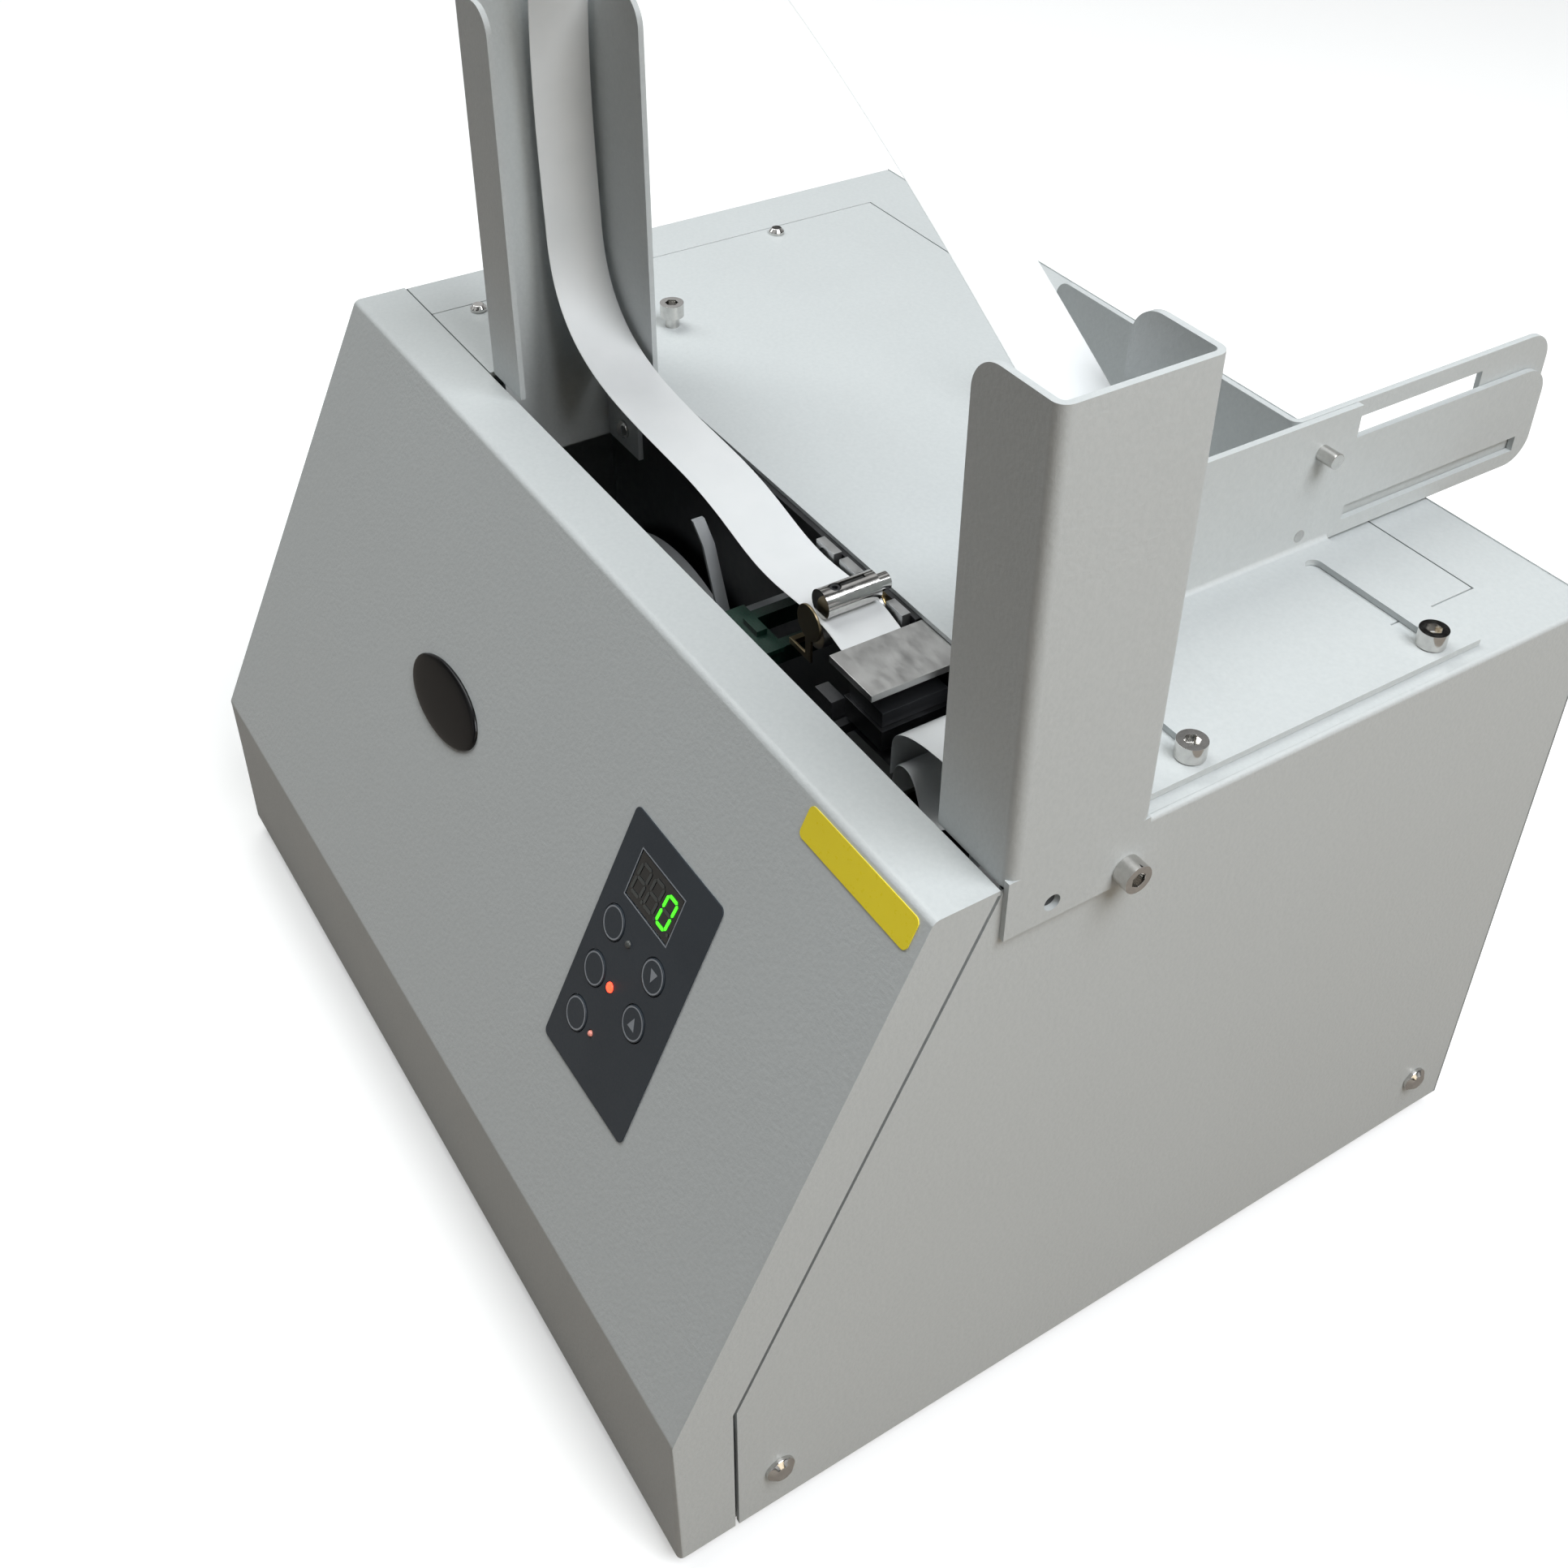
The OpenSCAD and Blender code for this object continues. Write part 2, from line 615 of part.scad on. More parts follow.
// disc that keeps the tape from creeping off the roller, on an arm under it
module tape_lip() {
    y = [tape_front - 2.4, tape_front - 1.6];
    low = feed[1] - roller_r - 2.6;
    color(steel) {
        rod_y(feed[0] + 2, feed[1] + 5.3, 5.8, y);
        box([feed[0] + 0.5, feed[0] + 3.5], y, [low, feed[1] + 2]);
        box([feed[0] - 8, feed[0] + 3.5], y, [low, low + 2]);
        box([feed[0] - 8, feed[0] - 6], [y[0], plate_y], [low, low + 2]);
    }
}
board_z = body_h - 21;
module sensor_board() {
    color("#1e5a3c") box([30, 54], [cover_y + 12.5, tape_front - 1.5], [board_z, board_z + 1.6]);
    color(dark) box([38, 46], [cover_y + 14.5, tape_front - 3], [board_z + 1.6, board_z + 3.6]);
    color(steel) for (x = [34, 50]) box([x - 2, x + 2], [tape_front - 5, plate_y], [board_z - 6, board_z]);
}
arm_z = body_h - 18;
// spring strip that leans beside the tape, and its foot on the plate
module sensor_arm() {
    y = [cover_y + 15, cover_y + 19];
    low = arm_z - 11;
    color(steel) {
        along_y(yf + y[0], yf + y[1]) translate([0, z0]) polygon([[22.4, low], [23.8, low],
            [14.1, arm_z + 11.8], [8.2, body_h - 0.6], [6.6, body_h - 0.6], [12.7, arm_z + 11.8]]);
        box([20, 26], [y[0], plate_y], [low - sheet_t, low]);
    }
}
module tape_sensor() {
    x = anvil_x[0] + 0.8;
    color(dark) {
        box([x, x + 8.5], [cover_y + 10.4, anvil_y - 0.6], [arm_z + 2, arm_z + 8]);
        box([x, x + 3], [cover_y + 10.8, anvil_y - 0.6], [arm_z - 8.5, arm_z + 2]);
        box([x, x + 3], [cover_y + 10.8, plate_y], [arm_z - 11, arm_z - 7.6]);
    }
}

tape_top = body_h + arch_h;
left_in = slot_left + channel_t + 7.5;
right_in = xr - 3.6;
// the closed strap: from under the anvil to the left, over the arch and back in on the right
start = [anvil_x[1] - 3, anvil_low - 0.55];
function strap() = concat(
    [start, [anvil_x[0] + 4, start[1]]],
    curve([anvil_x[0] + 4, start[1]], [anvil_x[0] - 3, start[1]], [post[0] + 8, nip + tape_t],
        [post[0] + 1, nip + tape_t], 6),
    curve([post[0] + 1, nip + tape_t], [feed[0] - 3, nip + tape_t], [feed[0] - 10, nip - 1],
        [feed[0] - 18, nip - 1], 6),
    curve([feed[0] - 18, nip - 1], [25, nip - 1], [18, body_h + 3.7], [-8, body_h + 5.5], 8),
    curve([-8, body_h + 5.5], [-50, body_h + 8], [left_in, body_h + 4], [left_in, body_h + 52], 12),
    curve([left_in, body_h + 52], [left_in - 4, body_h + 115], [left_in - 6, tape_top],
        [-30, tape_top], 14),
    curve([-30, tape_top], [28, tape_top], [100, body_h + 142.2], [xr - 32, body_h + 111], 14),
    curve([xr - 32, body_h + 111], [xr - 15, body_h + 100], [right_in, body_h + 88],
        [right_in, body_h + 66], 8),
    [[right_in, body_h + 14]],
    curve([right_in, body_h + 14], [right_in, body_h - 6], [xr - 28, body_h - 8],
        [xr - 52, body_h - 8.6], 10),
    curve([xr - 52, body_h - 8.6], [xr - 62, body_h - 9.4], [anvil_x[1] + 3.2, body_h - 11.5],
        [anvil_x[1] + 2.4, body_h - 19], 8),
    [[anvil_x[1] + 2.2, body_h - 30]]);
module paper_tape() {
    color("#eef0f2") along_y(yf + tape_front, yf + tape_back) translate([0, z0]) band(strap(), tape_t);
}
// supply tape: off the bottom of the reel, round the turning pins and up in loose folds to the feed
turn_r = 6;
supply_low = reel[1] - reel_r - gap - tape_t;
turn_x = xr - 46;
turn_pins = [[turn_x, supply_low + 10.6], [turn_x - 0.5, body_h - 70]];
curl_z = body_h - 34.5;
supply_x = turn_pins[0][0] + turn_r + gap;
curl_x = [anvil_x[1] + 9.5, xr - 56, xr - 40];
function supply() = concat([[reel[0] - 2, supply_low]],
    curve([reel[0] - 2, supply_low], [reel[0] + 60, supply_low],
        [turn_pins[0][0] - 50, turn_pins[0][1] - turn_r - gap - tape_t],
        [turn_pins[0][0], turn_pins[0][1] - turn_r - gap - tape_t], 8),
    [for (a = [-72:18:0]) turn_pins[0] + (turn_r + gap + tape_t) * [cos(a), sin(a)]],
    [[supply_x + tape_t, turn_pins[1][1]]],
    curve([supply_x + tape_t, turn_pins[1][1]], [supply_x + 0.4, curl_z - 9],
        [curl_x[2] + 6, curl_z + 9.5], [curl_x[2], curl_z + 9.5], 8),
    curve([curl_x[2], curl_z + 9.5], [curl_x[2] - 6, curl_z + 9.5], [curl_x[1] + 6, curl_z],
        [curl_x[1], curl_z], 8),
    curve([curl_x[1], curl_z], [curl_x[1] - 5, curl_z], [curl_x[0] + 6, curl_z + 11.5],
        [curl_x[0], curl_z + 11.5], 8),
    curve([curl_x[0], curl_z + 11.5], [curl_x[0] - 6, curl_z + 11.5], [curl_x[0] - 6.5, curl_z + 5],
        [curl_x[0] - 6, curl_z - 3], 8));
module tape_supply() {
    color("#eef0f2") along_y(yf + tape_front, yf + tape_back) translate([0, z0]) band(supply(), tape_t);
}
spindle_r = 6;
core_r = 20;
module reel_spindle() {
    color(steel) {
        rod_y(reel[0], reel[1], spindle_r, [tape_front - 1, plate_y]);
        rod_y(reel[0], reel[1], spindle_r + 5, [tape_back + 1.2, plate_y]);
        rod_y(reel[0], reel[1], spindle_r + 3, [tape_front - 4, tape_front - 1]);
        rod_y(reel[0], reel[1], 3, [plate_y, plate_y + plate_t]);
    }
}
roll_y = [tape_front + 0.3, tape_back - 0.3];
module tape_roll() {
    color("#eef0f2") difference() {
        rod_y(reel[0], reel[1], reel_r, roll_y);
        rod_y(reel[0], reel[1], core_r, [roll_y[0] - 1, roll_y[1] + 1]);
    }
}
module reel_core() {
    color(dark) difference() {
        union() {
            rod_y(reel[0], reel[1], core_r, [roll_y[0] - 0.8, roll_y[1] + 0.8]);
            rod_y(reel[0], reel[1], core_r + 16, [roll_y[1], roll_y[1] + 0.8]);
        }
        rod_y(reel[0], reel[1], spindle_r + running, [roll_y[0] - 3, roll_y[1] + 3]);
        for (a = [0:60:300]) at(reel[0], 0, reel[1]) rotate([0, a, 0]) translate([13, 0, 0])
            rotate([-90, 0, 0]) cylinder(r = 4, h = tape_back + 5);
    }
}
module turning_pins() {
    color(steel) for (p = turn_pins) {
        rod_y(p[0], p[1], turn_r, [tape_front - 1, plate_y]);
        rod_y(p[0], p[1], turn_r + 2, [tape_front - 2.5, tape_front - 1]);
        rod_y(p[0], p[1], 2, [plate_y, plate_y + plate_t]);
    }
}

// spur gear outline with straight-sided teeth, a tooth pointing along +X
function gear_points(n, m) = let (rp = n * m / 2, ro = rp + 0.8 * m, ri = rp - 1.05 * m, q = 360 / n)
    [for (i = [0:n - 1]) each [for (k = [[-0.33, ri], [-0.12, ro], [0.12, ro], [0.33, ri]])
        k[1] * [cos((i + k[0]) * q), sin((i + k[0]) * q)]]];
gear_y = [plate_y + plate_t + 1, plate_y + plate_t + 6];

module feed_roller() {
    color(dark) rod_y(feed[0], feed[1], roller_r, [tape_front + 0.8, plate_y - 1.5]);
    color(steel) {
        rod_y(feed[0], feed[1], 2.5, [tape_front - 0.4, tape_front + 0.8]);
        rod_y(feed[0], feed[1], 3, [plate_y - 1.5, gear_y[0]]);
        along_y(yf + gear_y[0], yf + gear_y[1]) translate([feed[0], z0 + feed[1]])
            rotate(-90) polygon(gear_points(roller_teeth, gear_m));
    }
}
module feed_bearing() {
    color("#b08d57") difference() {
        rod_y(feed[0], feed[1], 5, [plate_y - 1, plate_y + plate_t]);
        rod_y(feed[0], feed[1], 3 + running, [plate_y - 2, plate_y + 6]);
    }
}
motor_s = 35;
module feed_motor() {
    y0 = gear_y[1] + 1.5;
    color(dark) difference() {
        box([drive[0] - motor_s / 2, drive[0] + motor_s / 2 - 0.4], [y0, y0 + 34],
            [drive[1] - motor_s / 2, drive[1] + motor_s / 2 - 0.2]);
        rod_y(drive[0], drive[1], 2.5 + running, [y0 - 1, y0 + 20]);
    }
    color(steel) for (x = [-1, 1]) rod_y(drive[0] + x * (motor_s / 2 - 4), drive[1] + 4 - motor_s / 2, 3, [plate_y + plate_t, y0]);
}
module feed_gear() {
    y0 = gear_y[1] + 1.5;
    color(steel) {
        rod_y(drive[0], drive[1], 2.5, [gear_y[1], y0 + 18]);
        along_y(yf + gear_y[0], yf + gear_y[1]) translate([drive[0], z0 + drive[1]])
            rotate(90 + 180 / motor_teeth) polygon(gear_points(motor_teeth, gear_m));
    }
}
module cam_motor() {
    y0 = plate_y + plate_t;
    color(dark) difference() {
        union() {
            box([press_x - 20, press_x + 20], [y0, y0 + 18], [cam_z - 26, cam_z + 14]);
            rod_y(press_x, cam_z - 8, 16, [y0 + 18, y0 + 56]);
        }
        rod_y(press_x, cam_z, shaft_r + running, [y0 - 1, y0 + 16]);
    }
}
cam_step = press_lift / cam_turn;
function cam_points() = [for (a = [0:4:356])
    let (up = a <= cam_turn ? a : cam_turn * (356 - a) / (356 - cam_turn), r = cam_r + cam_step * up)
    r * [cos(90 - a), sin(90 - a)]];
module cam_shaft() {
    color(steel) {
        rod_y(press_x, cam_z, shaft_r, [plate_y - 20, plate_y + plate_t + 14]);
        along_y(yf + plate_y - 17, yf + plate_y - 7) translate([press_x, z0 + cam_z])
            polygon(cam_points());
    }
}
stem_y = plate_y - 12;
module press_guide() {
    color(steel) difference() {
        box([press_x - 11, press_x + 11], [stem_y - 10, plate_y], [cam_z + 23, cam_z + 36]);
        at(press_x, stem_y, cam_z + 22) cylinder(r = stem_r + running, h = 15);
    }
}
module press_head() {
    foot = cam_z + cam_r + cam_clear;
    color(steel) {
        at(press_x, stem_y, foot) cylinder(r = stem_r, h = press_top - 12 - foot);
        box([press_x - 9.5, press_x + 9.5], [tape_front - 1, plate_y - gap], [press_top - 12, press_top - 5]);
    }
}
module bonding_heater() {
    color("#b08d57") box([press_x - 8, press_x + 8], [tape_front, plate_y - 1.5], [press_top - 5, press_top]);
}
module anvil_plate() {
    y = [anvil_y, solenoid_y - anvil_travel - 2];
    color(steel) {
        box([anvil_x[0], anvil_x[1]], [y[0], y[0] + 50], [anvil_low, anvil_top]);
        box([press_x - 6, press_x + 6], [y[0] + 50, y[1]], [anvil_low, anvil_top]);
        box([press_x - 6, press_x + 6], [y[1] - 2, y[1]], [rod_z - 5, anvil_low]);
        rod_y(press_x, rod_z, 3, [y[1], solenoid_y + 10]);
    }
}
module anvil_solenoid() {
    h = anvil_low - gap - (rod_z - 9);
    color(dark) difference() {
        box([press_x - 10, press_x + 10], [solenoid_y, solenoid_y + 50], [rod_z - 9, rod_z - 9 + h]);
        rod_y(press_x, rod_z, 3 + running, [solenoid_y - 1, solenoid_y + 44]);
    }
    color(steel) {
        box([press_x - 10, press_x + 10], [plate_y + plate_t, solenoid_y + 50], [rod_z - 11, rod_z - 9]);
        box([press_x - 10, press_x + 10], [plate_y + plate_t, plate_y + plate_t + 2], [rod_z - 24, rod_z - 11]);
    }
}

// ---------------------------------------------------------------- electrics
board_x = [10, 150];
board_y = [body_d - 118, body_d - 23];
module control_board() {
    color("#1e5a3c") box(board_x, board_y, [sheet_t + 8, sheet_t + 9.6]);
    color(steel) for (x = [board_x[0] + 6, board_x[1] - 6], y = [board_y[0] + 6, board_y[1] - 6])
        at(x, y, sheet_t) cylinder(r = 3, h = 8);
    color(dark) {
        box([40, 60], [board_y[0] + 30, board_y[0] + 50], [sheet_t + 9.6, sheet_t + 13]);
        box([90, 120], [board_y[1] - 35, board_y[1] - 10], [sheet_t + 9.6, sheet_t + 30]);
        at(75, board_y[0] + 25, sheet_t + 9.6) cylinder(r = 8, h = 22);
    }
}
module transformer() {
    x = [-95, -35];
    y = [body_d - 118, body_d - 68];
    color(steel) {
        difference() {
            box(x, y, [sheet_t + 2, 54]);
            for (s = [x[0] + 10, x[1] - 20]) box([s, s + 10], [y[0] - 1, y[1] + 1], [14, 44]);
        }
        box([x[0] - 12, x[1] + 12], [y[0] + 8, y[1] - 8], [sheet_t, sheet_t + 2]);
    }
    color("#a8763a") for (s = [x[0] + 10, x[1] - 20]) box([s, s + 10], [y[0] - 6, y[1] + 6], [14, 44]);
}
inlet_w = 28;
inlet_h = 20;
socket_w = 24.4;
socket_h = 16.4;
socket_d = 16;
module power_inlet() {
    color(dark) difference() {
        union() {
            box([inlet_x - inlet_w / 2, inlet_x + inlet_w / 2], [body_d - 22, body_d],
                [rear_z - inlet_h / 2, rear_z + inlet_h / 2]);
            box([inlet_x - 25, inlet_x + 25], [body_d, body_d + 3], [rear_z - 14, rear_z + 14]);
        }
        box([inlet_x - socket_w / 2, inlet_x + socket_w / 2], [body_d + 3 - socket_d, body_d + 4],
            [rear_z - socket_h / 2, rear_z + socket_h / 2]);
    }
    color(steel) {
        for (p = [[-7, -2], [0, 2], [7, -2]])
            box([inlet_x + p[0] - 1, inlet_x + p[0] + 1], [body_d + 3 - socket_d, body_d - 5],
                [rear_z + p[1] - 2, rear_z + p[1] + 2]);
    }
}
fuse_r = 6.4;
module fuse_holder() {
    color(dark) {
        rod_y(fuse_x, rear_z, fuse_r, [body_d - 30, body_d]);
        rod_y(fuse_x, rear_z, 9, [body_d, body_d + 2]);
        rod_y(fuse_x, rear_z, 6, [body_d + 2, body_d + 10]);
    }
}
switch_w = 19.4;
switch_h = 27.8;
rocker_a = 9;
module switch_housing() {
    color(dark) difference() {
        union() {
            box([switch_x - switch_w / 2, switch_x + switch_w / 2], [body_d - 18, body_d],
                [rear_z - switch_h / 2, rear_z + switch_h / 2]);
            box([switch_x - 10.9, switch_x + 10.9], [body_d, body_d + 2], [rear_z - 15.6, rear_z + 15.6]);
        }
        box([switch_x - 8, switch_x + 8], [body_d - 10, body_d + 3], [rear_z - 13, rear_z + 13]);
    }
    color(steel) rod_x(body_d - 3, rear_z, 1.5, [switch_x - 8, switch_x + 8]);
}
module power_rocker() {
    color("#15161a") difference() {
        along_x(switch_x - 7.6, switch_x + 7.6) translate([yf + body_d - 3, z0 + rear_z]) rotate(-rocker_a)
            polygon([[-3, -4], [3.4, -11.6], [5.4, -11.6], [4.0, 0], [5.4, 11.6], [3.4, 11.6], [-3, 4]]);
        rod_x(body_d - 3, rear_z, 1.5 + running, [switch_x - 9, switch_x + 9]);
    }
}

// ---------------------------------------------------------------- front cover and control panel
function cover_outer() = [[yf, z0], [yf, z0 + band_h], [yf + slope_d, zt], [yf + cover_y, zt]];
module front_cover() {
    color(white) difference() {
        union() {
            along_x(xl, xr) band(rounded_path(cover_outer(), bend_r + sheet_t), -sheet_t);
            for (x = [xl, xr - sheet_t]) along_x(x, x + sheet_t) polygon(concat(
                rounded_path(cover_outer(), bend_r + sheet_t),
                [[yf + return_d, z0 + seam_knee], [yf + return_d, z0]]));
            for (s = [-1, 1]) rod_x(hinge_y, hinge_z, hinge_r,
                s > 0 ? [bracket_x - 2.5, xr - sheet_t] : [xl + sheet_t, 2.5 - bracket_x]);
        }
        for (k = keys) on_slope(k[0], k[1], -5) cylinder(r = key_r + 0.8, h = 10);
        on_slope(window[0], window[1], -5) translate([-window_w / 2, -window_h / 2, 0])
            cube([window_w, window_h, 10]);
        for (p = leds) on_slope(p[0], p[1], -5) cylinder(r = led_r + gap, h = 10);
    }
}
slope_l = norm([slope_d, body_h - band_h]);
badge_at = [xr - 217.5, slope_l - 80.7];
badge_size = [24.1, 10.9];
module badge() {
    color("#0c0d0f") on_slope(badge_at[0], badge_at[1]) linear_extrude(1.2)
        polygon([for (a = [0:8:352]) [badge_size[0] * cos(a), badge_size[1] * sin(a)]]);
}
strip_at = [xr - 50, slope_l - 11.7];
strip_size = [46.4, 9.4];
module notice_strip() {
    color("#f2cf1d") on_slope(strip_at[0], strip_at[1]) cube([strip_size[0], strip_size[1], 0.3]);
}
overlay_t = 0.4;
panel_mid = xr - panel_x;
keys = [for (p = [[-13.9, 47.5], [-13.9, 31.3], [-13.7, 15.2], [9.3, 47.1], [9.4, 30.9]])
    [panel_mid + p[0], panel_s + p[1]]];
leds = [for (s = [46.9, 31.7, 15.1]) [panel_mid - 5, panel_s + s]];
led_r = 1.2;
window = [panel_mid - 2.8, panel_s + 64.9];
window_w = 23.5;
window_h = 15.1;
module panel_overlay() {
    film = [[-panel_w / 2, 0], [panel_w / 2, 0], [panel_w / 2, panel_l], [-panel_w / 2, panel_l]];
    color("#2f3740") difference() {
        on_slope(panel_mid, panel_s) linear_extrude(overlay_t) polygon([for (i = [0:3])
            each round_corner(film[(i + 3) % 4], film[i], film[(i + 1) % 4], 2)]);
        for (k = keys) on_slope(k[0], k[1], -1) cylinder(r = key_r + gap, h = 3);
        for (p = leds) on_slope(p[0], p[1], -1) cylinder(r = led_r, h = 3);
        on_slope(window[0], window[1], -1) translate([-window_w / 2, -window_h / 2, 0])
            cube([window_w, window_h, 3]);
    }
}
board_d = 6.5;
module display_module() {
    color("#15161a") on_slope(window[0], window[1], -board_d)
        translate([-window_w / 2 + 0.3, -window_h / 2 + 0.3, 0])
            cube([window_w - 0.6, window_h - 0.6, board_d + overlay_t - 0.1]);
}
module panel_board() {
    color("#1e5a3c") on_slope(panel_mid, panel_s, -board_d - 1.6) translate([-panel_w / 2 + 2, 4, 0])
        cube([panel_w - 4, panel_l - 6, 1.6]);
    color(steel) for (x = [-1, 1], s = [8, panel_l - 6])
        on_slope(panel_mid + x * (panel_w / 2 - 4.5), panel_s + s, -board_d)
            cylinder(r = 1.8, h = board_d - sheet_t);
    color(dark) for (k = keys) on_slope(k[0], k[1], -board_d) translate([-3, -3, 0]) cube([6, 6, 3]);
}
module panel_leds() {
    color("#d8402a") for (p = leds) on_slope(p[0], p[1], -board_d) cylinder(r = led_r, h = board_d + overlay_t);
}
module key(k) {
    color("#3a424b") {
        on_slope(k[0], k[1], -1.2) cylinder(r = key_r, h = 1.2 + overlay_t + 0.3);
        on_slope(k[0], k[1], -board_d + 3 + key_travel + 0.1) cylinder(r = 2, h = board_d - 3.5 - key_travel);
    }
}
module key_a() { key(keys[0]); }
module key_b() { key(keys[1]); }
module key_c() { key(keys[2]); }
module key_up() { key(keys[3]); }
module key_down() { key(keys[4]); }

base_pan();
rubber_feet();
housing_shell();
rear_panel();
deck_ledges();
deck_plate();
left_channel();
right_channel();
side_screws();
deck_screws();
channel_screws();
clamp_screws();
rear_screws();
mechanism_plate();
hinge_brackets();
cover_catches();
guide_post();
guide_blocks();
tape_lip();
sensor_board();
sensor_arm();
tape_sensor();
paper_tape();
tape_supply();
reel_spindle();
turning_pins();
reel_core();
tape_roll();
feed_bearing();
feed_roller();
feed_motor();
feed_gear();
cam_motor();
cam_shaft();
press_guide();
press_head();
bonding_heater();
anvil_plate();
anvil_solenoid();
control_board();
transformer();
power_inlet();
fuse_holder();
switch_housing();
power_rocker();
front_cover();
badge();
notice_strip();
panel_overlay();
display_module();
panel_board();
panel_leds();
key_a();
key_b();
key_c();
key_up();
key_down();
side_guide();
guide_studs();
rear_stop();
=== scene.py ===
import bpy, bmesh, math
import numpy as np
from mathutils import Matrix, Vector


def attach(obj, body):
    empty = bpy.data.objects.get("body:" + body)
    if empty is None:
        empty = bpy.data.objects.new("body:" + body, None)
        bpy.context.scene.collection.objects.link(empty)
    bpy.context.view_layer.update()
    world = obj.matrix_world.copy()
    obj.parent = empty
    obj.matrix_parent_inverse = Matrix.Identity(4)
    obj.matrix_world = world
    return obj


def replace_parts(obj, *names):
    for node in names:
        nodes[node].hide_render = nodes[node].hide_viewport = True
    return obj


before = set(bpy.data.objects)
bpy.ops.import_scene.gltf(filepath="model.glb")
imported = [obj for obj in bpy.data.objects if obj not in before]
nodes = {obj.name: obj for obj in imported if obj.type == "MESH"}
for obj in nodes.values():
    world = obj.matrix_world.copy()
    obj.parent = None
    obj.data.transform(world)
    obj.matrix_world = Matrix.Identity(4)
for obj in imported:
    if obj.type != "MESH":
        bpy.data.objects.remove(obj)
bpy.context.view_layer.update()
scene = bpy.context.scene

# ------------------------------------------------------------------ camera
# Solved by least squares from the body's straight edges in the photograph: its focal
# length and optical centre, in pixels of the whole frame, and its place and turn.
frame_px, focal_px, centre_px = 1932, 2216.23, (1010.95, 745.20)
camera_place = (0.4042, -0.2607, 0.5260)
camera_turn = Vector((1.98039598, 1.09191510, -0.529845808))

camera = bpy.data.objects.new("camera", bpy.data.cameras.new("camera"))
scene.collection.objects.link(camera)
camera.data.sensor_width = 36
camera.data.lens = focal_px / frame_px * 36
camera.data.shift_x = (frame_px / 2 - centre_px[0]) / frame_px
camera.data.shift_y = (centre_px[1] - frame_px / 2) / frame_px
R = Matrix.Rotation(camera_turn.length, 3, camera_turn.normalized())
camera.matrix_world = Matrix.Translation(camera_place) @ Matrix(
    (R[0], -R[1], -R[2])).transposed().to_4x4()
scene.camera = camera
scene.view_settings.view_transform = "Standard"


# ------------------------------------------------------------------ floor
# A plain floor that is pale to the eye. What it throws back onto the machine is a dimmer,
# warmer light, so its colour depends on whether the camera looks at it.
def surface(name, **fixed):
    """A Principled material with its constant values on its own sockets, its tree and shader."""
    m = bpy.data.materials.new(name)
    m.use_nodes = True
    t = m.node_tree
    p = t.nodes["Principled BSDF"]
    for key, value in fixed.items():
        p.inputs[key.replace("_", " ")].default_value = value
    return m, t, p


def link(t, a, b):
    t.links.new(a, b)


def coords(t, stretch=(1, 1, 1)):
    """Object coordinates, in metres, stretched along each axis."""
    c = t.nodes.new("ShaderNodeTexCoord")
    m = t.nodes.new("ShaderNodeMapping")
    m.inputs["Scale"].default_value = stretch
    link(t, c.outputs["Object"], m.inputs["Vector"])
    return m.outputs["Vector"]


def noise(t, v, scale, detail=2, rough=0.5):
    """Soft noise of scale waves a metre, from 0 to 1."""
    n = t.nodes.new("ShaderNodeTexNoise")
    n.inputs["Scale"].default_value = scale
    n.inputs["Detail"].default_value = detail
    n.inputs["Roughness"].default_value = rough
    link(t, v, n.inputs["Vector"])
    return n.outputs["Fac"]


def blend(t, fac, low, high):
    """A colour that goes from low to high; each is (place on the ramp, colour)."""
    r = t.nodes.new("ShaderNodeValToRGB")
    for element, (place, colour) in zip(r.color_ramp.elements, (low, high)):
        element.position, element.color = place, (*colour, 1)
    link(t, fac, r.inputs["Fac"])
    return r.outputs["Color"]


def choose(t, which, first, second):
    """The first colour where which is 0 and the second where it is 1; each is a colour or
    a socket."""
    mix = t.nodes.new("ShaderNodeMixRGB")
    link(t, which, mix.inputs["Fac"])
    for key, value in (("Color1", first), ("Color2", second)):
        if isinstance(value, tuple):
            mix.inputs[key].default_value = (*value, 1)
        else:
            link(t, value, mix.inputs[key])
    return mix.outputs["Color"]


floor = bpy.data.objects.new("floor", bpy.data.meshes.new("floor"))
floor.data.from_pydata([(-6, -6, 0), (6, -6, 0), (6, 6, 0), (-6, 6, 0)], [], [(0, 1, 2, 3)])
scene.collection.objects.link(floor)

pale_floor, t, p = surface("pale floor", Roughness=0.7)
cloud = noise(t, coords(t), 3)
camera_sees = t.nodes.new("ShaderNodeLightPath").outputs["Is Camera Ray"]
thrown_back = blend(t, cloud, (0.3, (0.30, 0.265, 0.235)), (0.7, (0.32, 0.285, 0.25)))
pale = blend(t, cloud, (0.3, (0.83, 0.83, 0.83)), (0.7, (0.85, 0.85, 0.85)))
link(t, choose(t, camera_sees, thrown_back, pale), p.inputs["Base Color"])
lift = t.nodes.new("ShaderNodeMath")
lift.operation = "MULTIPLY"
lift.inputs[1].default_value = 0.34
link(t, camera_sees, lift.inputs[0])
link(t, lift.outputs[0], p.inputs["Emission Strength"])
p.inputs["Emission Color"].default_value = (1.0, 1.0, 1.0, 1)
floor.data.materials.append(pale_floor)

